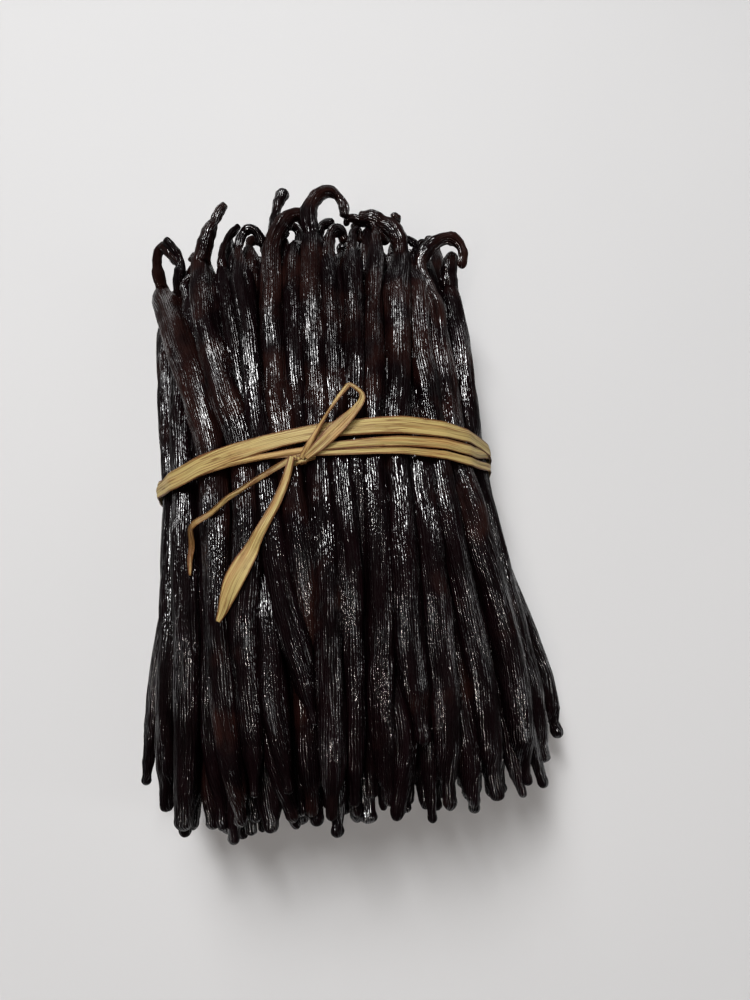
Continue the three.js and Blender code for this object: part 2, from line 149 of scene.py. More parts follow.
TOP_PODS = [
    TopPod((-46, -42, -40.5, -39.5, -38.8, -38.5), 3.0, (0, 0, 0, 0, 3, 4), -81, 52, 0.1,
           [(-38.4, 52, 33, 3.0), (-37.4, 55, 32, 2.4), (-36, 57.5, 31, 2.1), (-34.5, 58.5, 31, 2.2)]),
    TopPod((-31, -31.5, -31, -30.8, -31.5, -33.5), 3.0, 5, -86, 52, 0.0,
           [(-33.9, 52, 36, 3.0), (-34.6, 55.7, 36, 2.2), (-34, 58.2, 36, 1.9), (-32.2, 59.9, 36, 1.9),
            (-30.9, 57.9, 36, 1.8), (-31, 55.3, 35, 1.7)]),
    TopPod((-39.8, -36.3, -35.3, -34.6, -34.6, -36), 3.0, (0, 0, 0, 0, 6, 7), -85, 55, 0.0,
           [(-37, 55, 36, 3.2), (-37, 59, 38, 3.0), (-35.2, 63, 38, 2.9), (-35.7, 66.7, 38, 2.8),
            (-37, 69.1, 38, 2.7), (-38.4, 71.2, 38, 2.6)]),
    TopPod((-25.7, -27.2, -26.8, -26.3, -32.3, -40.2), 3.7, 0, -85, 61, 0.9,
           [(-42.2, 61.5, 31, 4.0), (-42.6, 65.2, 33, 3.0), (-42.3, 68.1, 34.5, 2.7),
            (-41.5, 70.6, 35.5, 2.6), (-39.9, 71.2, 36, 2.8), (-38.3, 69.4, 36.5, 3.0),
            (-37.1, 66.9, 36.5, 3.0), (-35.6, 64.8, 36.5, 2.8), (-34.2, 63.0, 36, 2.3)]),
    TopPod((-22.3, -21.6, -17.9, -18.2, -24.1, -27.1), 3.6, 0, -79, 58, 0.6,
           [(-26.4, 58, 46, 4.9), (-25.8, 61.6, 46, 4.7), (-25.0, 64.8, 46, 4.3), (-23.8, 68.2, 46, 3.3),
            (-22.6, 71.3, 45, 2.9), (-21.2, 73.8, 45, 2.6), (-19.6, 75.6, 45, 1.9)]),
    TopPod((-14, -17.2, -18, -17.5, -20, -22), 3.1, (0, 0, 3, 4, 4, 3), -79, 56, 0.2,
           [(-21.5, 56.3, 43, 3.0), (-21.2, 62.5, 43, 2.1), (-19.9, 66, 43, 2.1), (-18.1, 68.2, 43, 2.0),
            (-16.6, 69.9, 43, 1.8)]),
    TopPod((-5.6, -8.0, -12.6, -12.8, -14.3, -16.5), 3.2, (4, 0, 0, 0, 0, 0), -65, 55, 0.2,
           [(-16.6, 55, 45, 3.2), (-16.8, 58.8, 45, 2.6), (-16.4, 62.0, 45, 2.4), (-15.4, 64.6, 45, 2.6),
            (-13.7, 65.8, 46, 2.9), (-11.9, 65.2, 46, 2.9), (-10.9, 63.2, 45, 2.7), (-11.2, 61.6, 44, 2.3)]),
    TopPod((-13, -13.5, -10.5, -10.3, -9.8, -8.6), 3.0, (10, 8, 4, 4, 4, 4), -85, 60, 0.1,
           [(-8.6, 60.4, 43, 3.2), (-7.4, 65.6, 43, 3.0), (-6.7, 70.2, 43, 3.1), (-6.0, 73.6, 43, 2.7),
            (-5.2, 76.0, 43, 2.8), (-4.2, 77.9, 43, 3.9), (-3.3, 79.8, 43, 4.1)]),
    TopPod((-9.5, -6.5, -5.8, -7.9, -8.5, -7.9), 3.3, (8, 6, 0, 0, 0, 0), -85, 56, 0.9,
           [(-7.0, 56.4, 47, 5.0), (-6.2, 60.8, 47, 4.8), (-4.5, 64.4, 47, 4.6), (-2.4, 67.0, 47.5, 4.3),
            (-0.3, 68.2, 47.5, 3.9), (1.5, 67.3, 46.5, 3.5), (2.2, 64.1, 45, 3.0)]),
    TopPod((-6.5, -5.5, -5.0, -4.2, -3.2, -2.1), 2.9, (11, 7, 3, 0, 0, 1.5), -84, 58, 0.3,
           [(-1.6, 58, 44, 2.8), (-0.8, 61, 43, 2.1), (0.6, 62.5, 42, 1.9)]),
    TopPod((-4.7, -2.1, -0.1, 0.2, 0.9, 2.6), 3.3, 0, -85.5, 60, 0.6,
           [(3.3, 58.7, 47, 4.4), (3.1, 63.4, 48, 4.5), (3.2, 67, 48, 4.5), (4.7, 70.6, 48, 4.0),
            (6.9, 72.8, 48, 3.4), (9.1, 73.9, 48, 3.0), (11.0, 73.4, 47, 2.8), (12.4, 71.4, 46, 2.7),
            (12.7, 69.2, 46, 2.8), (12.3, 67.4, 45, 2.6)]),
    TopPod((0.2, 2.3, 3.8, 4.3, 5.6, 6.4), 2.9, (4, 2, 0.4, 0.4, 0.4, 0.4), -83.5, 54, 0.4,
           [(6.5, 53.7, 46, 3.4), (7.4, 58.4, 46, 3.1), (8.2, 61.2, 46, 3.0), (9.7, 62.8, 46, 3.0),
            (11.2, 62.4, 45, 3.0), (11.7, 60.2, 44, 2.7)]),
    TopPod((4, 6, 7.8, 8.7, 10.4, 13), 2.9, (9, 7, 1, 0, 0, 0), -82.5, 54, 0.3,
           [(13.2, 54, 46, 3.2), (13.7, 58.2, 46, 2.4), (14.4, 62.2, 45.5, 1.9), (15.9, 63.3, 45, 1.8),
            (16.3, 60.1, 44, 1.7)]),
    TopPod((8.5, 10, 12, 13.2, 16, 19.5), 2.9, (6, 3, 0.5, 0.5, 0.5, 0.5), -84.5, 60, 0.5,
           [(17.7, 60, 44, 2.6), (18.6, 63.7, 44, 2.1), (16.2, 66.5, 44, 2.0), (13.3, 67.8, 44, 2.2),
            (12.6, 66.3, 43, 2.1)]),
    TopPod((17.2, 17, 17.3, 18.5, 23, 27.1), 4.0, 0, -72, 54, 0.6,
           [(27.3, 54, 46, 4.4), (27.3, 58.0, 46, 4.0), (26.1, 61.8, 46, 4.1), (23.4, 64.4, 46, 4.1),
            (19.5, 66.5, 46, 3.4), (16.3, 67.6, 45, 2.2)]),
    TopPod((12, 13, 14, 15, 18.8, 23.5), 3.1, (9, 8, 4, 3, 4, 4), -85, 53, 0.2,
           [(24.8, 53.1, 42, 3.2), (26, 58.2, 42, 2.3), (27.1, 60.6, 42, 2.0), (29.4, 61.3, 42, 2.1),
            (31.7, 59.8, 41, 2.0), (32.4, 56.9, 40, 1.7)]),
    TopPod((21.5, 23.4, 22.8, 23.2, 26, 30), 3.2, (0, 0, 0, 1, 3, 4), -86.5, 55, 0.5,
           [(30.4, 55, 41, 3.0), (31, 58, 41, 2.3), (32.6, 60.4, 41, 2.0), (34.8, 61, 40, 1.9)]),
    TopPod((32.4, 32.1, 28.8, 27.2, 27.2, 28.5), 3.4, (0, 0, 0, 0, 1, 3), -86, 52, 0.6,
           [(28.8, 52, 41, 3.6), (28.4, 56, 41, 2.6), (27, 59, 41, 2.2), (25, 60.5, 40, 2.0)]),
    TopPod((40.7, 40.8, 36, 33.4, 32.2, 30.2), 3.7, 0, -84, 47, 0.8,
           [(32.0, 47, 43, 4.4), (31.5, 50.6, 43, 3.5), (32.0, 53.8, 43, 3.7), (34.2, 57.0, 43, 4.0),
            (37.6, 59.2, 43, 3.7), (41.0, 59.6, 43, 3.2), (43.2, 57.9, 42.5, 2.8), (44.0, 55.0, 42, 2.7),
            (43.6, 52.6, 41.5, 2.8), (42.4, 51.3, 41, 2.9)]),
    TopPod((48.3, 45, 42.8, 40.2, 39.9, 39.6), 3.3, 0, -80, 49, 0.2,
           [(40.0, 49.3, 35, 5.4), (40.2, 52.2, 36, 4.9), (40.7, 54.8, 37, 4.4), (41.5, 57.0, 37, 4.1),
            (42.6, 58.4, 37, 3.4)]),
]

BIG_SCAR_POD = 2      # its blossom end is hardly narrower than the pod

# The two pods at the sides that splay out past the others: x and z at ROUTE_Y.
SPLAY_X = (55.3, 49.8, 45, 41.5, 41, 40)
SPLAY_Z = (15.5, 18, 22, 27, 28, 27)
SPLAY_BLOSSOM = -75.0
print(len(TOP_PODS), "pods on top")

# %% [markdown]
# The rest of the bundle starts as points spread evenly through the section, from a sunflower
# pattern squared off to the heap's outline. The top of the section is left to the pods above.

# %% The pods underneath and at the sides
rng = np.random.default_rng(1912)
FILL_PODS = 92
FILL_RADIUS = (2.65, 3.55)   # mm
TOP_LAYER = 5.5        # mm, the thickness of the top layer, that the others start below
JITTER = 0.03          # of the section's size, that takes the points off their pattern


def sunflower(count):
    """Even points in a disc: each turns by the golden angle, at a radius that grows as a root."""
    order = np.arange(count) + 0.5
    turn = order * math.pi * (3 - math.sqrt(5))
    reach = np.sqrt(order / count)
    return reach * np.cos(turn), reach * np.sin(turn)


start_x, start_z = sunflower(FILL_PODS)
start_x += rng.uniform(-JITTER, JITTER, FILL_PODS)
start_z += rng.uniform(-JITTER, JITTER, FILL_PODS)
print(FILL_PODS, "pods below")

# %% [markdown]
# Each pod's numbers go into arrays, one entry for each pod: the top layer, the two splayed
# pods, then the rest.

# %% One array for each measure of a pod
TOPS = len(TOP_PODS)
SPLAYED = 2
PODS = TOPS + SPLAYED + FILL_PODS
first_fill = TOPS + SPLAYED
rest = PODS - TOPS


def measure(name, low, high):
    """The top pods' own values of `name`, and random ones between low and high for the rest."""
    by_hand = [getattr(pod, name) for pod in TOP_PODS]
    return np.concatenate([by_hand, rng.uniform(low, high, rest)])


radius = measure("radius", *FILL_RADIUS)
blossom = measure("blossom", -87, -80)
blossom[TOPS:first_fill] = SPLAY_BLOSSOM
neck = measure("neck", 54, 63)
tone = np.clip(measure("tone", -0.4, 0.9), 0, 1)
straight = rng.uniform(0.5, 4.5, PODS)      # mm, before a hook bends
curl = rng.uniform(1.8, 3.6, PODS)          # mm, the radius of its bend
sweep = np.radians(rng.uniform(30, 200, PODS))
heading = rng.uniform(0, 2 * np.pi, PODS)   # where it bends to: 0 is +X, a quarter turn is up
heading[:TOPS] = 0
tail = rng.uniform(0.5, 4, PODS)            # mm, after the bend
scar_radius = rng.uniform(1.15, 1.8, PODS)
scar_radius[BIG_SCAR_POD] = 2.5
swell_length = rng.uniform(9, 26, PODS)     # mm over which the blossom end reaches full width
taper_length = rng.uniform(6, 11, PODS)     # mm over which the stem end narrows to its neck
print(PODS, "pods, mean radius", round(float(radius.mean()), 2), "mm")

# %% [markdown]
# ## Packing the pods
#
# Real pods are pushed together by hand until they touch. Here, at 25 places along the bundle,
# every pod is a disc: overlapping discs push each other apart, the outline keeps them in, and
# each pod is kept smooth along its length. The top pods are drawn back to their own routes, and
# the others give way.

# %% Where each pod should lie
PLACES = 25
PLACE_Y = np.linspace(-88, 64, PLACES)
MIDDLE_PLACE = 14      # the place nearest to the tie
PAST_ROUTE = 0.3       # of a gap, how far a curve may run on past its first and last values
SWAY = 0.05            # of the section's size, that the pods below wander
FILL_MARGIN = 3.0      # mm, from the outline to the middles of the outermost pods below


def ease(value, start, end):
    """0 before start, 1 after end, and the smoothstep curve 3t^2 - 2t^3 between them."""
    share = np.clip((value - start) / (end - start), 0, 1)
    return share * share * (3 - 2 * share)


def eased_route(values):
    """The cubic curve (Hermite) through values at ROUTE_Y, with their mean slopes, at PLACE_Y."""
    slopes = np.gradient(values, ROUTE_Y)
    cell = np.clip(np.searchsorted(ROUTE_Y, PLACE_Y) - 1, 0, len(ROUTE_Y) - 2)
    gap = ROUTE_Y[cell + 1] - ROUTE_Y[cell]
    t = np.clip((PLACE_Y - ROUTE_Y[cell]) / gap, -PAST_ROUTE, 1 + PAST_ROUTE)
    route = values[cell] * (2 * t**3 - 3 * t**2 + 1) + values[cell + 1] * (3 * t**2 - 2 * t**3)
    route += gap * slopes[cell] * (t**3 - 2 * t**2 + t)
    return route + gap * slopes[cell + 1] * (t**3 - t**2)


wish_x = np.zeros((PLACES, PODS))
wish_z = np.zeros((PLACES, PODS))
for index, pod in enumerate(TOP_PODS):
    route = eased_route(np.array(pod.x))
    wish_x[:, index] = route
    below = np.interp(PLACE_Y, ROUTE_Y, np.broadcast_to(pod.depth, len(ROUTE_Y)))
    wish_z[:, index] = crown_height(route, PLACE_Y, pod.radius) - below
for side in range(SPLAYED):
    sign = 2 * side - 1
    wish_x[:, TOPS + side] = sign * np.interp(PLACE_Y, ROUTE_Y, SPLAY_X)
    wish_z[:, TOPS + side] = np.interp(PLACE_Y, ROUTE_Y, SPLAY_Z)
half_width, middle, reach_up, reach_down = (v[:, None] for v in section(PLACE_Y))


def sway(length):
    """A slow sine along each of the pods below, one radian in `length` mm."""
    return SWAY * np.sin(PLACE_Y[:, None] / length + rng.uniform(0, 2 * np.pi, FILL_PODS))


drift, climb = sway(34), sway(29)
reach = np.where(start_z > 0, reach_up - TOP_LAYER, reach_down)
wish_x[:, first_fill:] = (start_x + drift) * (half_width - FILL_MARGIN)
wish_z[:, first_fill:] = middle + (start_z + climb) * reach
print("each pod has a wish at", PLACES, "places along the bundle")

# %% Push the pods apart until they only touch
PRESS = 0.93          # pods are soft, so they touch a little closer than two round rods
ROUNDS = 260
PUSH, SMOOTHING = 0.36, 0.22    # share of an overlap, and of a bump, that one round takes away
HELD, LOOSE = 0.16, 0.004       # share of the way back to its route that a pod takes in a round
SPLAY_OUTSET = 9.5    # mm that the two splayed pods may lie outside the outline
SPLAY_FROM, SPLAY_TO = -22.0, -80.0    # mm, where they start to leave it, and are fully out
PAST_END = 3.0        # mm past its ends over which a pod takes up as much room as at them
TINY = 1e-6           # mm, so that two discs at one place aren't divided by zero

pull = np.where(np.arange(PODS) < first_fill, HELD, LOOSE)
outset = np.zeros((PLACES, PODS))
outset[:, TOPS:first_fill] = SPLAY_OUTSET * ease(PLACE_Y, SPLAY_FROM, SPLAY_TO)[:, None]
past_blossom = PLACE_Y[:, None] - blossom
before_neck = neck - PLACE_Y[:, None]
narrow = np.where(past_blossom > -PAST_END, 0.58 + 0.42 * ease(past_blossom, 0, swell_length), 0.25)
thin = np.where(before_neck > -PAST_END, 0.45 + 0.55 * ease(before_neck, 0, taper_length), 0.35)
girth = radius * narrow * thin


def fullness(x, z, spare=0.0):
    """The superellipse's sum for each disc, 1 where it touches the outline, and its power."""
    wide = half_width + spare - girth
    tall = np.where(z > middle, reach_up, reach_down) - girth
    power = np.where(z > middle, TOP_POWER, FOOT_POWER)
    return (np.abs(x) / wide) ** power + (np.abs(z - middle) / tall) ** power, power


def keep_inside(x, z):
    """Moves discs that stick out of the outline straight back towards the section's middle."""
    out, power = fullness(x, z, outset)
    back = np.where(out > 1, out, 1) ** (-1 / power)
    return x * back, np.maximum(middle + (z - middle) * back, girth)


def push_apart(x, z):
    """Moves every two discs that overlap away from each other, by a share of the overlap."""
    dx = x[:, :, None] - x[:, None, :]
    dz = z[:, :, None] - z[:, None, :]
    apart = np.sqrt(dx * dx + dz * dz) + TINY
    wanted = PRESS * (girth[:, :, None] + girth[:, None, :])
    push = PUSH * np.maximum(wanted - apart, 0) / apart
    push[:, np.arange(PODS), np.arange(PODS)] = 0
    return x + (dx * push).sum(2), z + (dz * push).sum(2)


pod_x, pod_z = wish_x.copy(), wish_z.copy()
for _ in range(ROUNDS):
    pod_x += pull * (wish_x - pod_x)
    pod_z += pull * (wish_z - pod_z)
    pod_x, pod_z = push_apart(pod_x, pod_z)
    pod_x[1:-1] += SMOOTHING * (pod_x[:-2] + pod_x[2:] - 2 * pod_x[1:-1])
    pod_z[1:-1] += SMOOTHING * (pod_z[:-2] + pod_z[2:] - 2 * pod_z[1:-1])
    pod_x, pod_z = keep_inside(pod_x, pod_z)

tie_x, tie_z, tie_girth = pod_x[MIDDLE_PLACE], pod_z[MIDDLE_PLACE], girth[MIDDLE_PLACE]
between = np.hypot(tie_x[:, None] - tie_x, tie_z[:, None] - tie_z)
between /= tie_girth[:, None] + tie_girth
np.fill_diagonal(between, 1)
print("closest pair at the tie, as a share of touching:", round(float(between.min()), 2))

# %% [markdown]
# Some pods below show at the ends: past the top layer's blossom ends, and between its hooks.
# Those reach farther. The stem ends at the sides bend inwards, which keeps the sides clean.

# %% The ends that show under the top layer
BLOSSOM_PLACE, STEM_PLACE = 2, -4    # the places that stand for the two ends
SIDE_FROM = 30.0      # mm from the bundle's middle


def under_top(place, depth, across):
    """Which of the rest lie less than `depth` under the outline and `across` from its middle."""
    under = crown_height(pod_x[place], PLACE_Y[place]) - pod_z[place]
    return (np.arange(PODS) >= first_fill) & (under < depth) & (np.abs(pod_x[place]) < across)


lower = under_top(BLOSSOM_PLACE, depth=26, across=40)
blossom = np.where(lower, rng.uniform(-89.5, -85.5, PODS), blossom)
fills = under_top(STEM_PLACE, depth=16, across=38)
neck = np.where(fills, rng.uniform(60, 66, PODS), neck)
straight = np.where(fills, 0.4 * straight, straight)
tail = np.where(fills, 0.5 * tail, tail)

near_side = np.abs(pod_x[STEM_PLACE]) > SIDE_FROM
near_side[:TOPS] = False
stem_side = np.sign(pod_x[STEM_PLACE])
inwards = np.where(stem_side > 0, np.pi, 0) - 0.9 * stem_side * rng.uniform(-0.3, 1, PODS)
heading = np.where(near_side, inwards, heading)
straight = np.where(near_side, 0.5 * straight, straight)
print(fills.sum(), "short necks fill the gaps between the hooks")

# %% [markdown]
# ## From a disc at each place to a smooth line through each pod
#
# A pod's middle line runs through its places on a smooth curve, of the kind that passes through
# every point that it is given and has no corner there.

# %% Smooth lines through given points
def between_points(t, before, here, there, after):
    """The smooth curve (Catmull-Rom) from `here` at t = 0 to `there` at t = 1."""
    bend = 2 * before - 5 * here + 4 * there - after
    twist = 3 * here - before - 3 * there + after
    return here + 0.5 * t * (there - before + t * (bend + t * twist))


def smooth(values, y, pods):
    """Values at y, from the smooth curve through evenly spaced places."""
    step = PLACE_Y[1] - PLACE_Y[0]
    at = np.clip((y - PLACE_Y[0]) / step, 0, PLACES - 1.001)
    cell = np.floor(at).astype(int)
    near = [values[np.clip(cell + k, 0, PLACES - 1), pods[:, None]] for k in (-1, 0, 1, 2)]
    return between_points(at - cell, *near)


def through(points, count, crowd=1.0):
    """A smooth line of `count` points through a few given ones, spaced by distance over x and y.

    With `crowd` above 1 the points crowd together towards the end."""
    points = np.array(points, float)
    run = np.concatenate([[0], np.cumsum(np.linalg.norm(np.diff(points[:, :2], axis=0), axis=1))])
    fine = run[-1] * (1 - (1 - np.linspace(0, 1, count)) ** crowd)
    padded = np.concatenate([[2 * points[0] - points[1]], points, [2 * points[-1] - points[-2]]])
    cell = np.clip(np.searchsorted(run, fine, "right") - 1, 0, len(run) - 2)
    t = ((fine - run[cell]) / (run[cell + 1] - run[cell]))[:, None]
    return between_points(t, *(padded[cell + k] for k in range(4)))


print("half way round a small bend:", through([(0, 0), (1, 1), (2, 0)], 3)[1])

# %% [markdown]
# Past its neck a pod goes on for a few millimetres and then bends over in one plane, which makes
# the hook. It is found by adding up small steps along a direction that turns.

# %% The necks that are drawn at random
NECK_STEPS = 34
CROWD = 1.35          # how much the rings of a neck crowd together towards its tip
LOW_NECK = 14.0       # mm, the height under which a neck bends upwards
EASE_OVER = 0.25      # of an arc: its turning starts this much before it and ends as much after
neck_radius = rng.uniform(0.95, 1.45, PODS)
tip_swell = rng.uniform(0.95, 1.5, PODS)


def drawn_necks(pods, root, direction):
    """Necks past `root`: straight, round an arc, then straight again.

    The direction turns towards the heading by an angle that eases from 0 to the full sweep
    while the arc lasts, and the points are the running sum of the steps."""
    arc = curl[pods] * sweep[pods]
    length = straight[pods] + arc + tail[pods]
    share = 1 - (1 - np.linspace(0, 1, NECK_STEPS + 1)) ** CROWD
    along = length[:, None] * share
    start = straight[pods][:, None] - EASE_OVER * arc[:, None]
    end = straight[pods][:, None] + (1 + EASE_OVER) * arc[:, None]
    angle = sweep[pods][:, None] * ease(along, start, end)
    level = np.where(root[:, 2] < LOW_NECK, np.abs(np.sin(heading[pods])), np.sin(heading[pods]))
    over = np.stack([np.cos(heading[pods]), 0 * level, level], 1)
    over -= direction * (over * direction).sum(1, keepdims=True)
    over /= np.linalg.norm(over, axis=1, keepdims=True)
    way = np.cos(angle)[..., None] * direction[:, None] + np.sin(angle)[..., None] * over[:, None]
    steps = np.diff(along, axis=1)[..., None] * 0.5 * (way[:, 1:] + way[:, :-1])
    swell = 1 + (tip_swell[pods][:, None] - 1) * ease(length[:, None] - along[:, 1:], 4, 1)
    return root[:, None] + np.cumsum(steps, axis=1), neck_radius[pods][:, None] * swell


neck_length = straight + curl * sweep + tail
print(f"necks are {neck_length.min():.0f} to {neck_length.max():.0f} mm long")

# %% [markdown]
# The hooks that show are given one by one instead. Each one starts where the packing has left the
# end of its pod, and eases into its own route.

# %% The middle line of a pod
BLOSSOM_ROUND = 2.6   # mm of the blossom end where the rings crowd together
ROUND_STEPS = 9
HOOK_ROUNDS, HOOK_SMOOTHING = 3, 0.3    # times that a hook is evened out, and by how much


def middle_lines(pods, body_steps):
    """The middle line of each pod, from its blossom end to the tip of its neck, and the radius
    of the neck at each of its own points."""
    round_end = BLOSSOM_ROUND * (1 - np.cos(np.linspace(0, np.pi / 2, ROUND_STEPS + 1)[:-1]))
    rest_of_it = np.linspace(0, 1, body_steps - ROUND_STEPS)
    length = (neck[pods] - blossom[pods])[:, None]
    run = np.concatenate([np.tile(round_end, (len(pods), 1)),
                          BLOSSOM_ROUND + (length - BLOSSOM_ROUND) * rest_of_it], 1)
    y = blossom[pods][:, None] + run
    body = np.stack([smooth(pod_x, y, pods), y, smooth(pod_z, y, pods)], 2)
    root = body[:, -1]
    direction = body[:, -1] - body[:, -2]
    direction /= np.linalg.norm(direction, axis=1, keepdims=True)
    necks, thick = drawn_necks(pods, root, direction)
    for order, pod in enumerate(pods):
        hook = TOP_PODS[pod].hook if pod < TOPS else None
        if hook:
            route = np.array([(*root[order], hook[0][3]), *hook[1:]])
            miss = np.append(root[order] - np.array(hook[0][:3]), 0)
            share = np.linspace(0, 1, len(route))[:, None]
            route[1:] += (miss * (1 - share) ** 1.5)[1:]
            fine = through(route, NECK_STEPS + 1, CROWD)
            for _ in range(HOOK_ROUNDS):
                fine[1:-1] += HOOK_SMOOTHING * (fine[:-2] + fine[2:] - 2 * fine[1:-1])
            fine = fine[1:]
            necks[order] = fine[:, :3]
            thick[order] = 0.5 * fine[:, 3]
    return np.concatenate([body, necks], 1), thick


lines, _ = middle_lines(np.arange(PODS), 60)
steps = np.linalg.norm(np.diff(lines, axis=1), axis=2)
print(f"pods are {steps.sum(1).min():.0f} to {steps.sum(1).max():.0f} mm long")

# %% [markdown]
# ## The skin of a pod
#
# A cured pod has shrunk round its seeds, so its skin lies in long furrows that wander, join and
# fade. The big ones are in the mesh: families of ridges, each a row of arches (the absolute
# value of a sine wave) that slides round the pod as it goes along. The finest are left to the
# material.

# %% What differs from skin to skin
RIDGE_FAMILIES = (3, 6, 10, 15)            # ridges round the pod in each family
scar_waist = rng.uniform(0.82, 1.0, PODS)
flatness = rng.uniform(0.03, 0.15, PODS)
ridge_phase = rng.uniform(0, 2 * np.pi, (len(RIDGE_FAMILIES), 4, PODS))
lump_phase = rng.uniform(0, 2 * np.pi, (4, PODS))
print(f"scars are {2 * scar_radius.min():.1f} to {2 * scar_radius.max():.1f} mm across")

# %% How thick a pod is
WAVER = 0.03          # of the radius
LUMPINESS = 0.16      # of a thin part's radius
WAVER_WAVES = (11, 5.3, 2.9)      # mm per radian
LUMP_WAVES = (1.5, 0.8, 0.43)
SCAR_SLOPE = (1.6, 3.8)           # mm from the blossom end, where a scar narrows to its waist
SWELL_FROM = 3.0      # mm from the blossom end, where the pod begins to swell
TIP_OPEN = 0.002      # how far round a tip's last ring stays from its pole, which closes it


def waves(along, pods, lengths):
    """Three sines along each pod, of these lengths in mm per radian, the longest the strongest."""
    total = 0
    for share, length, row in zip((1, 0.8, 0.5), lengths, (0, 1, 3)):
        total = total + share * np.sin(along / length + lump_phase[row, pods][:, None])
    return total


def round_cap(distance):
    """A quarter circle: 0 at no distance from the tip, and 1 from a distance of 1 on."""
    return np.sqrt(1 - (1 - np.clip(distance, TIP_OPEN, 1)) ** 2)


def thickness(pods, along, neck_thick):
    """Radius of each pod at `along` mm from its blossom end.

    A round scar, a slight waist behind it, a rise to the full radius, a slow waver along the
    body, a fall to the neck, and the neck's own radius; both tips are rounded off."""
    scar, waist_share, full, swell, taper = (
        values[pods][:, None] for values in (scar_radius, scar_waist, radius, swell_length, taper_length))
    bodies = along.shape[1] - NECK_STEPS
    run = along[:, :bodies]
    narrow = scar + (scar * waist_share - scar) * ease(run, *SCAR_SLOPE)
    early = ease(run, SWELL_FROM - 0.5, 0.45 * swell + SWELL_FROM)
    rise = 0.5 * early + 0.5 * ease(run, SWELL_FROM, swell + SWELL_FROM)
    body = narrow + (full - narrow) * rise
    body = body * (1 + WAVER * waves(run, pods, WAVER_WAVES))
    thin = neck_thick[:, :1]
    body = thin + (body - thin) * ease(along[:, bodies - 1:bodies] - run, -2, taper)
    whole = np.concatenate([body, neck_thick], 1)
    lumps = waves(along, pods, LUMP_WAVES)
    whole = whole * (1 + LUMPINESS * (1 - np.clip(whole / full, 0, 1)) * lumps)
    reach = 0.8 * neck_thick[:, -1:]
    return whole * round_cap(along / scar) * round_cap((along[:, -1:] - along) / reach)


print("a round cap, half way in:", round(float(round_cap(0.5)), 2))

# %% The furrows in the skin
RIDGE_DEPTHS = (0.40, 0.32, 0.22, 0.12)    # mm
MEAN_ARCH = 0.64      # an arch's mean height, taken off so that ridges don't make a pod thicker


def furrows(pods, along, turn):
    """Height of the skin over its mean, in mm, at `along` mm and at the angle `turn`.

    It is the sum of |sin(count/2 x turn + slide)| over the families. The arches slide round the
    pod, and fade in and out, on slow sines of 4 to 18 mm per radian."""
    height = np.zeros((len(pods), along.shape[1], turn.shape[-1]))
    run = along[:, :, None]
    for family, (count, depth_mm) in enumerate(zip(RIDGE_FAMILIES, RIDGE_DEPTHS)):
        phase = ridge_phase[family][:, pods][:, :, None, None]
        slide = 1.3 * np.sin(run / (9 + 3 * family) + phase[0]) + 0.6 * np.sin(run / 4.1 + phase[1])
        arches = np.abs(np.sin(0.5 * count * turn + slide + phase[2]))
        fade = 0.65 + 0.35 * np.sin(run / 13 + 2 * turn + phase[3])
        height += depth_mm * fade * (arches - MEAN_ARCH)
    return height


print("furrows about", round(2 * math.pi * radius.mean() / RIDGE_FAMILIES[2], 1), "mm apart")

# %% [markdown]
# Now the skin can be laid round the middle line. A hook bends in one plane, so a direction
# square to that plane never lines up with the pod, and two directions across the pod come from
# it by cross products.

# %% The surface of many pods at once
FLOOR_GAP = 0.02      # mm; pods are soft, and flat where they rest on the floor
TIE_MIDDLE, TIE_REACH = -1.5, 8.0   # mm; along this stretch the raffia presses the pods rounder
TIE_ROUNDING = 0.6    # share of their furrows and flatness that it takes away
# The darkening of the furrows in the material is painted shade, deepest at this depth.
DARK_DEPTH = 0.4      # mm, how deep a furrow is where it is darkest
Skins = namedtuple("Skins", "points ends along thick valley tone pods")


def directions_across(line, pods):
    """Two unit directions square to the line at each of its points, and to each other."""
    way = np.gradient(line, axis=1)
    way /= np.linalg.norm(way, axis=2, keepdims=True)
    square = np.stack([-np.sin(heading[pods]), 0 * heading[pods], np.cos(heading[pods])], 1)
    second = square[:, None] - way * (way * square[:, None]).sum(2, keepdims=True)
    second /= np.linalg.norm(second, axis=2, keepdims=True)
    return np.cross(second, way), second


def crown_turn(pods):
    """The angle that faces out of the bundle: a skin's middle, so that its seam faces inwards."""
    out_x, out_z = pod_x[MIDDLE_PLACE, pods], pod_z[MIDDLE_PLACE, pods] - middle[MIDDLE_PLACE]
    s, c = np.sin(heading[pods]), np.cos(heading[pods])
    return np.arctan2(c * out_z - s * out_x, -c * out_x - s * out_z)


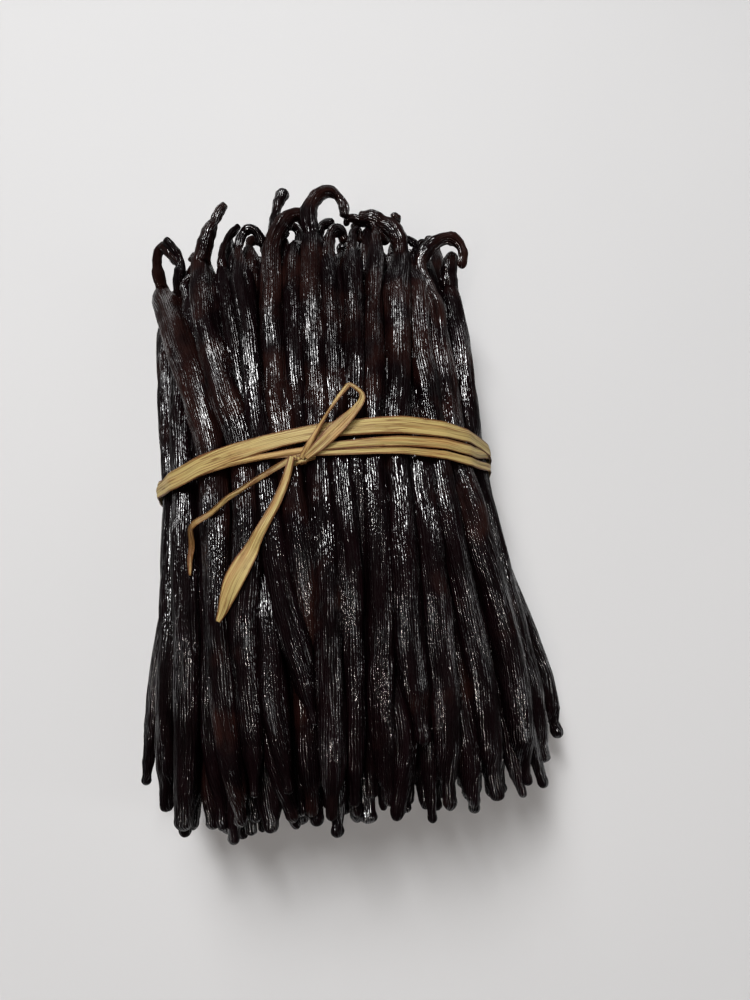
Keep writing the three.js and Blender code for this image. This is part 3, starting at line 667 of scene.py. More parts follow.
def skins(pods, body_steps, sides, keep=slice(None)):
    """The skins of `pods`: rings of `sides` points round the middle lines.

    Each point is middle + radius x (cos a x first + sin a x second), with the radius made oval
    and furrowed, but less so under the raffia. `keep` picks a stretch of the rings."""
    line, neck_thick = middle_lines(pods, body_steps)
    step = np.linalg.norm(np.diff(line, axis=1), axis=2)
    along = np.concatenate([np.zeros((len(pods), 1)), np.cumsum(step, axis=1)], 1)
    first, second = directions_across(line, pods)
    thick = thickness(pods, along, neck_thick)
    loose = 1 - TIE_ROUNDING * np.exp(-((line[:, :, 1:2] - TIE_MIDDLE) / TIE_REACH) ** 2)
    round_once = np.linspace(-np.pi, np.pi, sides, endpoint=False)
    turn = (crown_turn(pods)[:, None] + round_once)[:, None, :]
    lean = lump_phase[2, pods][:, None, None] + along[:, :, None] / 60
    oval = 1 + loose * flatness[pods][:, None, None] * np.cos(2 * (turn - lean))
    oval = oval + loose * 0.03 * np.cos(3 * turn + along[:, :, None] / 8 + lean)
    height = loose * furrows(pods, along, turn)
    share = np.clip(thick / radius[pods][:, None], 0, 1)[:, :, None]
    height = height * (0.15 + 0.85 * share) * np.clip(share * 4, 0, 1)
    out = (thick[:, :, None] * oval + height)[..., None]
    ring = np.cos(turn)[..., None] * first[:, :, None] + np.sin(turn)[..., None] * second[:, :, None]
    points = line[:, :, None] + out * ring
    points[..., 2] = np.maximum(points[..., 2], FLOOR_GAP)
    # How deep a spot lies in a furrow; the material darkens it by this as painted shade.
    valley = np.clip(-height / DARK_DEPTH, 0, 1)
    # The thin necks are redder than the rest, and the stem half is redder than the other.
    redder = tone[pods][:, None] + 0.35 * ease(share[:, :, 0], 0.75, 0.35) * (along > 30)
    redder = redder + 0.15 - 0.55 * ease(line[:, :, 1], 20, -35)
    ends = line[:, keep][:, [0, -1]]
    kept = (values[:, keep] for values in (along, thick, valley, redder))
    return Skins(points[:, keep], ends, *kept, pods)


print("a skin's rings and sides:", skins(np.array([0]), 60, 28).points.shape[1:3])

# %% [markdown]
# ## Turning arrays into meshes
#
# A mesh takes whole arrays: all the vertex places at once, then the corners of all the faces.
# Each pod is a grid of four-sided faces closed by a fan of triangles at each end. For the
# material the mesh carries a map of the skin in metres (round the pod, along the pod), how deep
# each spot lies in a furrow, for the furrows' painted shade, and each pod's own tone.

# %% The faces of a tube
def grid_faces(rings, sides, closed=False):
    """Corners of a tube's faces: a grid, then a fan round each pole, or no fans if it is closed.

    Ring vertices come first, then the two poles. A corner's row and column count on past the
    last ring and side, so that the skin map doesn't run backwards at a seam."""
    ring, side = np.meshgrid(np.arange(rings - 1 + closed), np.arange(sides), indexing="ij")
    ring, side = ring.ravel(), side.ravel()
    row = np.stack([ring, ring, ring + 1, ring + 1], 1).ravel()
    column = np.stack([side, side + 1, side + 1, side], 1).ravel()
    sizes = np.full(len(ring), 4)
    if closed:
        return row % rings * sides + column % sides, column, row, sizes
    side = np.arange(sides)
    start = np.stack([side, side + 1, side], 1).ravel()
    end = np.stack([side, side, side + 1], 1).ravel()
    row = np.concatenate([row, 0 * start, 0 * end + rings - 1])
    column = np.concatenate([column, start, end])
    corners = row * sides + column % sides
    fans = corners[-6 * sides:].reshape(2, sides, 3)
    fans[:, :, 0] = rings * sides + np.array([[0], [1]])
    return corners, column, row, np.concatenate([sizes, np.full(2 * sides, 3)])


print("a tube of 3 rings with 4 sides has", len(grid_faces(3, 4)[-1]), "faces")

# %% Write skins into one mesh
def mesh_from(name, places, corners, sizes, skin_map, spots):
    """A smooth mesh object from arrays in mm. `spots` holds one array per vertex attribute."""
    mesh = bpy.data.meshes.new(name)
    mesh.vertices.add(len(places))
    moved = (places + np.array([0, TIE_Y, 0])) * MM
    mesh.vertices.foreach_set("co", moved.astype(np.float32).ravel())
    mesh.loops.add(len(corners))
    mesh.loops.foreach_set("vertex_index", corners.astype(np.int32))
    mesh.polygons.add(len(sizes))
    starts = np.concatenate([[0], np.cumsum(sizes)[:-1]])
    mesh.polygons.foreach_set("loop_start", starts.astype(np.int32))
    mesh.polygons.foreach_set("use_smooth", np.ones(len(sizes), bool))
    layer = mesh.uv_layers.new(name="skin")
    layer.data.foreach_set("uv", (skin_map * MM).astype(np.float32).ravel())
    for key, values in spots.items():
        attribute = mesh.attributes.new(key, "FLOAT", "POINT")
        attribute.data.foreach_set("value", values.astype(np.float32).ravel())
    mesh.update(calc_edges=True)
    mesh.validate()
    made = bpy.data.objects.new(name, mesh)
    bpy.context.collection.objects.link(made)
    return made


MAP_SHIFT = 37.0      # mm between two pods on the skin map, so that no two look alike
THINNEST = 0.5        # mm, the least radius the skin map is laid out for
POLES = ((0, 0), (0, 2))    # np.pad's room for the two poles after each pod's rings


def pods_mesh(name, skin):
    """One mesh from the skins of some pods."""
    count, rings, sides = skin.valley.shape
    local, column, row, sizes = grid_faces(rings, sides)
    places = np.concatenate([skin.points.reshape(count, -1, 3), skin.ends], 1)
    corners = local + places.shape[1] * np.arange(count)[:, None]
    girth_here = 2 * np.pi * np.maximum(skin.thick, THINNEST)[:, row]
    own = skin.pods[:, None]
    round_skin = (column / sides - 0.5) * girth_here + MAP_SHIFT * (own % 7)
    skin_map = np.stack([round_skin, skin.along[:, row] + MAP_SHIFT * own], 2).reshape(-1, 2)
    valley = np.pad(skin.valley.reshape(count, -1), POLES)
    tones = np.pad(np.repeat(skin.tone, sides, axis=1), POLES, "edge")
    spots = {"valley": valley.ravel(), "tone": tones.ravel()}
    made = mesh_from(name, places.reshape(-1, 3), corners.ravel(), np.tile(sizes, count), skin_map, spots)
    print(f"{name}: {count} pods, {count * (sizes - 2).sum()} triangles")
    return made


print("meshes are ready to be written")

# %% [markdown]
# ## Which pods are worth how many faces
#
# A pod deep inside the bundle shows only at its two ends, so only its ends are made. How deep a
# pod lies is measured at places along it, as the share of the way out to the outline.

# %% Sort the pods by how deep they lie
OUTER_FROM, SECOND_FROM = 0.93, 0.74    # share of the way out where the two layers begin
NEAR_SKIN = 0.2       # share of the places at which a pod must lie that far out
BODY_PLACES = slice(3, -4)    # the places away from the two ends
out, power = fullness(pod_x, pod_z)
out = (out ** (1 / power))[BODY_PLACES]
outer = (out > OUTER_FROM).mean(0) > NEAR_SKIN
outer[:first_fill] = True
second = ((out > SECOND_FROM).mean(0) > NEAR_SKIN) & ~outer
deep = ~outer & ~second
around = np.arctan2(pod_z[MIDDLE_PLACE] - middle[MIDDLE_PLACE], pod_x[MIDDLE_PLACE])
print("outer", outer.sum(), "second", second.sum(), "deep", deep.sum())

# %% Build the pods
SIDES, STEPS = 48, 96
SECOND_SIDES, SECOND_STEPS = 32, 64
END_SIDES, END_STEPS = 28, 60
STEM_RINGS, BLOSSOM_RINGS = 14, 15    # rings of the body that are made at the ends of an inner pod
degrees = np.degrees(around)
groups = {
    "pods_top_left": (degrees > 88) & (degrees < 172),
    "pods_top_right": (degrees > 8) & (degrees <= 88),
    "pods_left_flank": (degrees >= 172) | (degrees < -130),
    "pods_right_flank": (degrees <= 8) & (degrees > -50),
    "pods_underside": (degrees <= -50) & (degrees >= -130),
}
pieces = []
for name, facing in groups.items():
    pieces.append(pods_mesh(name, skins(np.flatnonzero(outer & facing), STEPS, SIDES)))
chosen = np.flatnonzero(second)
pieces.append(pods_mesh("pods_second_layer", skins(chosen, SECOND_STEPS, SECOND_SIDES)))
inner = np.flatnonzero(deep)
ends = {
    "inner_stem_ends": slice(END_STEPS - STEM_RINGS, END_STEPS + NECK_STEPS),
    "inner_blossom_ends": slice(0, BLOSSOM_RINGS),
}
for name, part in ends.items():
    pieces.append(pods_mesh(name, skins(inner, END_STEPS, END_SIDES, part)))

# %% [markdown]
# ## The dark middle
#
# Between the outer pods one looks into the bundle, at more pods in deep shade. A plain dark
# core, well inside the outline, stops the light there, and its near-black colour is painted shade.

# %% The core
CORE_INSET = 10.0
CORE_Y = (-74.0, 44.0)
CORE_POLE_Z = 26.0
CORE_RINGS, CORE_SIDES = 24, 64
CORE_POWER = 0.8      # of the sine that gives its height, which squares it off a little
CORE_MAP = np.array([4.0, 5.0])    # mm on the skin map from one corner of a face to the next


def core_surface():
    """The heap's section drawn in by CORE_INSET, carried along the bundle."""
    y = np.linspace(*CORE_Y, CORE_RINGS)[:, None]
    turn = np.linspace(0, 2 * np.pi, CORE_SIDES, endpoint=False)[None]
    wide, centre, up, down = section(y)
    c, s = np.cos(turn), np.sin(turn)
    x = (wide - CORE_INSET) * np.sign(c) * np.abs(c) ** (2 / TOP_POWER)
    reach = np.where(s > 0, up - CORE_INSET, down - CORE_INSET)
    z = centre + reach * np.sign(s) * np.abs(s) ** CORE_POWER
    return np.stack([x, y + 0 * x, z], 2)[:, ::-1].reshape(-1, 3)


corners, column, row, sizes = grid_faces(CORE_RINGS, CORE_SIDES)
core_places = np.concatenate([core_surface(), [(0, y, CORE_POLE_Z) for y in CORE_Y]])
core_map = np.stack([column, row], 1) * CORE_MAP
core = mesh_from("dark_core", core_places, corners, sizes, core_map, {})
print("core", len(core_places), "vertices")

# %% [markdown]
# ## The raffia
#
# Raffia is a strip peeled from a palm leaf: thin, flat, a little cupped, split along its fibres
# and narrower wherever it is twisted. A turn pulled tight round the bundle touches only the
# pods that stand out and runs straight between them. That line is found by asking, for every
# direction, which pod reaches out farthest.

# %% The tight line round the pods
TURN_STEPS = 420
DIRECTIONS = 4001     # the last is the first again
LIE = 0.65            # mm between the pods' round sections and the middle of the raffia
TIE_SPAN = np.array([[-7.0, -4.0, -1.0, 2.0, 4.0]])   # mm, places under the tie


def tight_line():
    """Evenly spaced points of the tight loop round all the pods at the tie, from +X up.

    For each direction the farthest-reaching pod gives one point on its own edge."""
    at = np.tile(TIE_SPAN, (PODS, 1))
    x = smooth(pod_x, at, np.arange(PODS)).ravel()
    z = smooth(pod_z, at, np.arange(PODS)).ravel()
    thick = np.repeat(radius, TIE_SPAN.size) + LIE
    angle = np.linspace(0, 2 * np.pi, DIRECTIONS)
    reach = x * np.cos(angle)[:, None] + z * np.sin(angle)[:, None] + thick
    best = reach.argmax(1)
    loop_x = x[best] + thick[best] * np.cos(angle)
    loop_z = z[best] + thick[best] * np.sin(angle)
    run = np.concatenate([[0], np.cumsum(np.hypot(np.diff(loop_x), np.diff(loop_z)))])
    even = np.linspace(0, run[-1], TURN_STEPS, endpoint=False)
    return np.stack([np.interp(even, run, loop_x), np.interp(even, run, loop_z)], 1), run[-1]


tie_line, tie_length = tight_line()
print(f"one turn of raffia is {tie_length:.0f} mm long")

# %% [markdown]
# A strip's section is a thin lens with a few folds along the fibres. The same section is
# carried round the turns, the loop and the tails, each with its own width along the way.

# %% A strip of raffia along any line
STRIP_THICK = 0.36
EDGE_WIDTH = 0.55     # mm, the browner part along a strip's edges
STRIP_SIDES = 28


def strip_section(width, wave, seed):
    """Offsets across and off the strip for every point round its section, in mm.

    Across is width/2 x cos a. Off is a thin lens, plus folds along the fibres, plus a slight
    cupping. `wave` counts slowly along the strip. The angle runs backwards, so that the faces
    look outwards."""
    turn = -np.linspace(0, 2 * np.pi, STRIP_SIDES, endpoint=False)[None]
    across = np.cos(turn)
    lens = 0.5 * STRIP_THICK * np.sign(np.sin(turn)) * np.abs(np.sin(turn)) ** 0.6
    half = 0.5 * width[:, None]
    place = across * half
    wave = wave[:, None]
    fold = 0.15 * np.sin(place * 3.1 + seed + 0.6 * np.sin(3 * wave + seed))
    fold = fold + 0.10 * np.sin(place * 6.3 + 2 * seed + 0.9 * np.sin(5 * wave))
    cup = 0.10 * half * across ** 2 * np.sin(2 * wave + seed)
    return place, lens + fold * (1 - across ** 6) + cup


def strip_points(line, side, width, wave, seed):
    """Rings of points of a strip along `line`; `side` points across it at each place."""
    way = np.gradient(line, axis=0)
    way /= np.linalg.norm(way, axis=1, keepdims=True)
    side = side - way * (side * way).sum(1, keepdims=True)
    side /= np.linalg.norm(side, axis=1, keepdims=True)
    off = np.cross(side, way)
    step = np.linalg.norm(np.diff(line, axis=0), axis=1)
    along = np.concatenate([[0], np.cumsum(step)])
    across, rise = strip_section(width, wave, seed)
    points = line[:, None] + across[..., None] * side[:, None] + rise[..., None] * off[:, None]
    edge = 1 - np.clip((0.5 * width[:, None] - np.abs(across)) / EDGE_WIDTH, 0, 1)
    return points, along, across, edge


print("a strip's section has", STRIP_SIDES, "points")

# %% Write strips into one mesh
STRIP_SHIFT = 20.0    # mm between two strips on the skin map
CLOSING_STEP = 0.7    # mm from a turn's last ring back to its first


def strips_mesh(name, strips, closed=False):
    """One mesh of strips, each closed on itself or with a fan of triangles at either end."""
    places, corners, sizes, skin_map, edges, used = [], [], [], [], [], 0
    for points, along, across, edge in strips:
        rings = len(points)
        local, column, row, local_sizes = grid_faces(rings, STRIP_SIDES, closed)
        ends = np.stack([points[0].mean(0), points[-1].mean(0)])[:0 if closed else 2]
        spread = across[row % rings, column % STRIP_SIDES]
        # Open strips start one shift farther on, clear of the closed ones on the map.
        spread = spread + STRIP_SHIFT * (len(places) + (not closed))
        run = np.append(along, along[-1] + CLOSING_STEP)[row]
        places.append(np.concatenate([points.reshape(-1, 3), ends]))
        corners.append(local + used)
        sizes.append(local_sizes)
        skin_map.append(np.stack([spread, run], 1))
        edges.append(np.pad(edge.ravel(), (0, len(ends))))
        used += len(places[-1])
    places, corners, sizes, skin_map, edges = map(np.concatenate, (places, corners, sizes, skin_map, edges))
    made = mesh_from(name, places, corners, sizes, skin_map, {"edge": edges})
    print(f"{name}: {(sizes - 2).sum()} triangles")
    return made


print("open strips lie", STRIP_SHIFT, "mm apart on the skin map")

# %% The three turns
HALF_BLUR = 7         # steps on either side over which a turn's middle and width are evened out
LAP = 3               # steps that a turn laps itself by while its surface is worked out
SHOULDER = math.radians(2), math.radians(24)    # above the sides, where the values at TURN_X set in
Turn = namedtuple("Turn", "middle width seed lift")

# Middle and width of each turn over the top, at TURN_X, in mm; round the sides and the back
# the strips close on themselves with an easy curve.
TURN_X = (-44, -35, -24, -9, 5, 20, 30, 38, 46)
TURNS = [
    Turn((-3.2, -3.0, -1.3, 0.4, 1.6, 1.9, 1.3, 0.7, 1.4),
         (4.6, 5.2, 5.0, 3.9, 3.9, 4.7, 4.4, 3.6, 3.2), 0.4, 0.45),
    Turn((-4.6, -4.4, -3.4, -3.1, -2.5, -2.1, -2.4, -3.2, -3.0),
         (1.8, 1.7, 1.6, 1.6, 1.9, 2.7, 2.8, 3.0, 2.6), 2.1, 0.2),
    Turn((-2.2, -2.4, -2.6, -3.3, -4.2, -4.6, -5.2, -6.2, -6.4),
         (2.2, 1.8, 1.4, 1.5, 1.6, 1.8, 2.2, 2.4, 2.2), 4.7, 0.0),
]


def lapped(values, count):
    """Values round a loop, with `count` of them repeated before its start and after its end."""
    return np.concatenate([values[-count:], values, values[:count]])


def turn_of_raffia(turn):
    """One closed strip round the bundle."""
    centre = tie_line.mean(0)
    out_way = tie_line - centre
    out_way /= np.linalg.norm(out_way, axis=1, keepdims=True)
    line = tie_line + out_way * turn.lift
    angle = np.arctan2(line[:, 1] - centre[1], line[:, 0] - centre[0])
    over = ease(angle, *SHOULDER) * ease(math.pi - angle, *SHOULDER)
    back_y = -1.8 + 1.8 * np.sin(angle + turn.seed) + 0.8 * np.sin(2 * angle + turn.seed)
    back_width = 2.9 + 0.9 * np.sin(3 * angle + turn.seed)
    y = over * np.interp(line[:, 0], TURN_X, turn.middle) + (1 - over) * back_y
    width = over * np.interp(line[:, 0], TURN_X, turn.width) + (1 - over) * back_width
    blur = np.ones(2 * HALF_BLUR + 1) / (2 * HALF_BLUR + 1)
    y, width = (np.convolve(lapped(values, HALF_BLUR), blur, "valid") for values in (y, width))
    ring = lapped(np.stack([line[:, 0], y, line[:, 1]], 1), LAP)
    side = np.tile([0.0, 1.0, 0.0], (len(ring), 1))
    wave = 8 * np.pi * np.arange(-LAP, len(width) + LAP) / len(width)
    strip = strip_points(ring, side, lapped(width, LAP), wave, turn.seed)
    strip[0][..., 2] = np.maximum(strip[0][..., 2], FLOOR_GAP)
    return [values[LAP:-LAP] for values in strip]


raffia_turns = strips_mesh("raffia_turns", [turn_of_raffia(turn) for turn in TURNS], closed=True)

# %% [markdown]
# The loop and the tails lie loosely on the pods. Their height follows the crowns of the pods
# under them, evened out so that they bridge the valleys, plus a little lift of their own.

# %% The loop and the tails
MISSED = 90.0         # mm, takes a pod that isn't under a point out of the running
UP = np.array([0.0, 0.0, 1.0])
BRIDGE = 14           # steps on either side over which a strip bridges the valleys
NARROWEST = 0.3       # mm


def pod_tops(x, y):
    """Height of the highest pod over each point (x, y): each pod is a round rod here."""
    pods = np.arange(PODS)
    at = np.tile(y, (PODS, 1))
    px = smooth(pod_x, at, pods)
    pz = smooth(pod_z, at, pods)
    off = np.clip(np.abs(x - px) / radius[:, None], 0, 1)
    return (pz + radius[:, None] * np.sqrt(1 - off**2) - MISSED * (off >= 1)).max(0)


# Each point of a route: x, y, lift over the pods, width, and how many degrees it is rolled.
# After the route come a seed, the count of rings, and how brown the strip is at the least.
Strip = namedtuple("Strip", "route seed steps brown")
LOOSE_STRIPS = [
    Strip([(-4.2, -4.8, 1.4, 1.5, 0), (-2.0, -1.8, 2.0, 1.6, 10), (0.2, 1.2, 2.4, 1.5, 30),
           (3.0, 5.0, 3.0, 1.5, 50), (5.8, 8.4, 3.4, 1.5, 40), (7.9, 10.7, 3.6, 1.5, 20),
           (8.8, 11.4, 3.6, 1.1, 0), (10.4, 10.2, 3.6, 1.1, 0), (11.4, 8.8, 3.4, 1.3, 0),
           (11.1, 7.2, 3.2, 1.8, -20), (8.8, 4.7, 2.8, 2.5, -10), (6.2, 2.4, 2.5, 3.2, 0),
           (3.5, 0.2, 2.2, 3.5, 0), (0.4, -2.4, 2.0, 2.8, 10), (-3.2, -5.0, 1.5, 1.6, 0)], 1.0, 190, 0.3),
    Strip([(-5.4, -4.4, 1.4, 1.5, 0), (-11.8, -7.1, 0.9, 1.4, 20), (-17.5, -9.8, 0.9, 1.3, 40),
           (-23.7, -12.8, 1.0, 1.3, 30), (-28.4, -15.2, 1.0, 1.4, 10), (-31.3, -16.6, 1.0, 1.5, 0),
           (-32.4, -17.6, 1.0, 1.3, 0), (-33.0, -20.5, 1.0, 1.4, 20), (-33.6, -23.2, 0.9, 1.3, 30),
           (-33.8, -25.9, 0.8, 1.0, 20), (-33.8, -27.4, 0.8, 0.5, 20)], 2.2, 150, 0.45),
    Strip([(-6.4, -4.4, 1.4, 1.6, 0), (-8.2, -9.5, 1.0, 2.0, 0), (-10.4, -13.9, 0.9, 2.2, 0),
           (-13.0, -18.0, 0.9, 2.4, 0), (-16.2, -22.7, 0.9, 2.9, 0), (-17.9, -25.3, 0.9, 3.8, 0),
           (-19.8, -28, 0.9, 4.5, 0), (-22.2, -31.6, 0.9, 4.6, 0), (-23.6, -34.2, 0.9, 3.9, 0),
           (-25.2, -37.2, 0.9, 2.6, 0), (-26.8, -39.9, 0.9, 1.2, 0)], 3.3, 170, 0.0),
]


def loose_strip(strip):
    """A strip over the pods: x, y, lift, width and roll are eased along its route."""
    route = through(strip.route, strip.steps)
    base = pod_tops(route[:, 0], route[:, 1])
    padded = np.pad(base, BRIDGE, mode="edge")
    highest = np.array([padded[k:k + 2 * BRIDGE + 1].max() for k in range(len(base))])
    window = np.hanning(2 * BRIDGE + 3)[1:-1]
    eased = np.convolve(np.pad(highest, BRIDGE, mode="edge"), window / window.sum(), "valid")
    line = np.stack([route[:, 0], route[:, 1], eased + route[:, 2]], 1)
    level = np.cross(np.gradient(line, axis=0), UP)
    level /= np.linalg.norm(level, axis=1, keepdims=True)
    roll = np.radians(route[:, 4])[:, None]
    side = level * np.cos(roll) + UP * np.sin(roll)
    wave = np.linspace(0, 2 * np.pi, len(line))
    strip_of = strip_points(line, -side, np.maximum(route[:, 3], NARROWEST), wave, strip.seed)
    return [*strip_of[:3], np.maximum(strip_of[3], strip.brown)]


raffia_ends = strips_mesh("raffia_loop_and_tails", [loose_strip(s) for s in LOOSE_STRIPS])

# %% [markdown]
# The knot is the same strip wound tightly over itself: a turn across the foot of the loop, a
# steeper one where the tails leave, and one that pulls both together.

# %% The knot
KNOT_X, KNOT_Y = -4.6, -4.0
KNOT_RISE = 1.5       # mm over the highest pod there
WRAP_STEPS = 80
WRAP_START = 0.6      # radians round the ellipse
WRAP_END = 0.3        # of its width, how narrow a wrap is at its two ends
Wrap = namedtuple("Wrap", "x y turns tilt wide tall width seed")
WRAPS = [
    Wrap(-6.3, -4.2, 1.3, 80, 1.7, 1.0, 2.0, 0.3),
    Wrap(-3.4, -4.6, 1.4, 6, 2.7, 1.0, 1.7, 1.9),
    Wrap(-3.9, -3.6, 1.2, 22, 2.6, 1.2, 1.7, 3.1),
]
knot_height = float(pod_tops(np.array([KNOT_X]), np.array([KNOT_Y]))[0]) + KNOT_RISE


def knot_wrap(wrap):
    """A short coil: an ellipse `wide` by `tall`, stood on edge and turned by `tilt` degrees."""
    turn = np.linspace(WRAP_START, WRAP_START + 2 * np.pi * wrap.turns, WRAP_STEPS)
    share = np.linspace(0, 1, WRAP_STEPS)
    drift = share - 0.5
    tilt = math.radians(wrap.tilt)
    run = wrap.wide * np.cos(turn)
    line = np.stack([
        wrap.x + run * math.cos(tilt) - drift * math.sin(tilt),
        wrap.y + run * math.sin(tilt) + drift * math.cos(tilt),
        knot_height + wrap.tall * np.sin(turn),
    ], 1)
    side = np.tile([-math.sin(tilt), math.cos(tilt), 0.0], (WRAP_STEPS, 1))
    ends = np.minimum(1, WRAP_END + 6 * np.minimum(share, 1 - share))
    return strip_points(line, side, wrap.width * ends, 2 * share, wrap.seed)


raffia_knot = strips_mesh("raffia_knot", [knot_wrap(wrap) for wrap in WRAPS])

# %% [markdown]
# ## A small language for materials
#
# A material is a web of nodes. Written as nodes, a sum of three things takes a page; written as
# a sum, it takes a line. The class below wraps one socket so that + and * add Math nodes, and
# its `node` method adds any other node.

# %% Sockets that can be used in sums
class Wire:
    """One socket of a material, on which +, - and * add Math nodes."""

    def __init__(self, tree, socket=None):
        self.tree = tree
        self.socket = socket

    def node(self, kind, settings, inputs, output=0):
        """Adds a node: its settings first, then the numbers or wires of its sockets."""
        made = self.tree.nodes.new(kind)
        for key, value in settings.items():
            setattr(made, key, value)
        for key, value in inputs.items():
            if isinstance(value, Wire):
                self.tree.links.new(value.socket, made.inputs[key])
            else:
                made.inputs[key].default_value = value
        return Wire(self.tree, made.outputs[output])

    def math(self, operation, first, second=0.0):
        return self.node("ShaderNodeMath", {"operation": operation}, {0: first, 1: second})

    def __add__(self, other):
        return self.math("ADD", self, other)

    def __sub__(self, other):
        return self.math("SUBTRACT", self, other)

    def __rsub__(self, other):
        return self.math("SUBTRACT", other, self)

    def __mul__(self, other):
        return self.math("MULTIPLY", self, other)

    __radd__ = __add__
    __rmul__ = __mul__

    def ramp(self, low, high):
        """0 where this is under low and 1 where it is over high, eased between them."""
        settings = {"interpolation_type": "SMOOTHSTEP"}
        return self.node("ShaderNodeMapRange", settings, {"Value": self, "From Min": low, "From Max": high})

    def mix(self, first, second):
        """The colour `first` where this is 0 and `second` where it is 1."""
        settings = {"data_type": "RGBA", "clamp_factor": True}
        return self.node("ShaderNodeMix", settings, {0: self, 6: first, 7: second}, 2)

    def noise(self, place, scale, detail=2.0, roughness=0.5, distortion=0.0):
        """Cloudy noise about 1/scale across, read at `place`."""
        inputs = {"Vector": place, "Scale": scale, "Detail": detail,
                  "Roughness": roughness, "Distortion": distortion}
        return self.node("ShaderNodeTexNoise", {}, inputs)

    def streaks(self, across, along, *noise):
        """Noise in patches `across` by `along` metres on the skin map."""
        skin = self.node("ShaderNodeUVMap", {"uv_map": "skin"}, {})
        scale = (1 / across, 1 / along, 1.0)
        place = self.node("ShaderNodeMapping", {}, {"Vector": skin, "Scale": scale})
        return self.noise(place, 1.0, *noise)

    def place(self):
        """The spot's own place, in metres."""
        return self.node("ShaderNodeTexCoord", {}, {}, "Object")

    def spot(self, name):
        """A value that the mesh carries for each spot."""
        return self.node("ShaderNodeAttribute", {"attribute_name": name}, {}, "Fac")

    def bump(self, depth, height, strength=1.0):
        """A normal that tilts as if the skin rose by `depth` metres where height is 1."""
        return self.node("ShaderNodeBump", {}, {"Strength": strength, "Distance": depth, "Height": height})

    def feed(self, shader, name, value):
        """Joins a wire to one of the shader's sockets."""
        self.tree.links.new(value.socket, shader.inputs[name])


def new_finish(name, **plain):
    """A fresh material, a Wire to write it with, and its shader, with some plain numbers set."""
    material = bpy.data.materials.new(name)
    material.use_nodes = True
    shader = material.node_tree.nodes["Principled BSDF"]
    for socket, value in plain.items():
        shader.inputs[socket.replace("_", " ")].default_value = value
    return material, Wire(material.node_tree), shader


print("materials are ready to write")

# %% [markdown]
# ## Cured pod skin
#
# The skin is almost black, red-brown in patches and towards the stem ends, and so oily that it
# shines in short bright dashes along its wrinkles. The wrinkles are fine ridges of one pitch (a
# sine wave across the pod) that noise makes wander, fade and break, with a finer grain over
# them. An oily shader and a dull one share the skin: a slow noise lays out oily patches, where
# the crests of the ridges take the oil. The furrows of the mesh are darkened with painted shade.

# %% The material of the pods
WRINKLE_PITCH = 0.00062   # metres from one fine ridge to the next
WRINKLE_DEPTH = 0.00012   # metres
BLACK_SKIN = (0.0018, 0.0005, 0.0008, 1), (0.0040, 0.0011, 0.0016, 1)
BROWN_SKIN = (0.0075, 0.0022, 0.0019, 1), (0.0160, 0.0052, 0.0039, 1)
# Painted shade: the colour that the furrows are darkened towards.
PAINTED_FURROW_SHADE = (0.0015, 0.0008, 0.0008, 1)


def cured_pod_finish():
    """An oily shader on the crests of the oily patches, and a dull one everywhere else."""
    material, wire, shader = new_finish("cured_pod", Specular_IOR_Level=1.0, IOR=1.6)
    valley = wire.spot("valley")

    skin = wire.node("ShaderNodeUVMap", {"uv_map": "skin"}, {})
    across = wire.node("ShaderNodeSeparateXYZ", {}, {0: skin}, "X")
    wander = wire.streaks(0.0016, 0.0075)
    ridges = wire.math("SINE", across * (2 * math.pi / WRINKLE_PITCH) + wander * 10.0)
    breaks = wire.streaks(0.0010, 0.0050, 2.0, 0.6)
    grain = wire.streaks(0.00032, 0.0013, 1.0, 0.5, 0.2)
    firm = wire.streaks(0.004, 0.013, 1.0).ramp(0.36, 0.60)
    height = ridges * (breaks * 0.9 + 0.10) * (firm * 0.6 + 0.25) + breaks * 1.2 + grain * 1.4
    bump = wire.bump(WRINKLE_DEPTH, height)

    patches = wire.noise(wire.place(), 80.0)
    clouds = wire.streaks(0.006, 0.018, 3.0, 0.6)
    redness = (wire.spot("tone") * 0.7 + patches * 2.2 - 1.35).ramp(0.05, 0.5)
    black = clouds.ramp(0.35, 0.7).mix(*BLACK_SKIN)
    brown = clouds.ramp(0.3, 0.7).mix(*BROWN_SKIN)
    # Painted shade: the furrows are darkened by how deep they lie.
    colour = (valley * 0.7).mix(redness.mix(black, brown), PAINTED_FURROW_SHADE)

    wire.feed(shader, "Base Color", colour)
    wire.feed(shader, "Roughness", valley * 0.12 + 0.105)
    wire.feed(shader, "Normal", bump)
    dull = wire.node("ShaderNodeBsdfPrincipled", {}, {
        "Base Color": colour, "Roughness": 0.45, "Specular IOR Level": 0.03, "Normal": bump})

    # Oil lies where a broad patch, a broken streak and the crest of a ridge add up.
    crests = ridges * 0.35 + breaks * 1.3 + wire.streaks(0.0035, 0.020) * 3.0 + 0.1
    oiled = Wire(wire.tree, shader.outputs[0])
    both = wire.node("ShaderNodeMixShader", {}, {0: crests.ramp(2.25, 2.75), 1: dull, 2: oiled})
    wire.feed(wire.tree.nodes["Material Output"], "Surface", both)
    return material


cured_pod = cured_pod_finish()
for piece in pieces:
    piece.data.materials.append(cured_pod)
print("the pods have their skin")

# %% The material of the core
# Painted shade: the near-black colour of the core, standing in for the shaded pods deeper in.
DEEP_SHADE = (0.0025, 0.0018, 0.0016, 1), (0.006, 0.004, 0.0035, 1)


def core_finish():
    """Dark and dull painted shade, so that the gaps between the pods look deep."""
    material, wire, shader = new_finish("deep_shade", Roughness=0.9, Specular_IOR_Level=0.1)
    wire.feed(shader, "Base Color", wire.noise(wire.place(), 300.0).mix(*DEEP_SHADE))
    return material


core.data.materials.append(core_finish())
print("the core is in deep shade")

# %% [markdown]
# ## Raffia
#
# Dry raffia is straw-coloured, with paler fibres and broader sunned streaks that run along it.
# It browns along its edges, in creases and in fine splits, and has a faint silky shine.

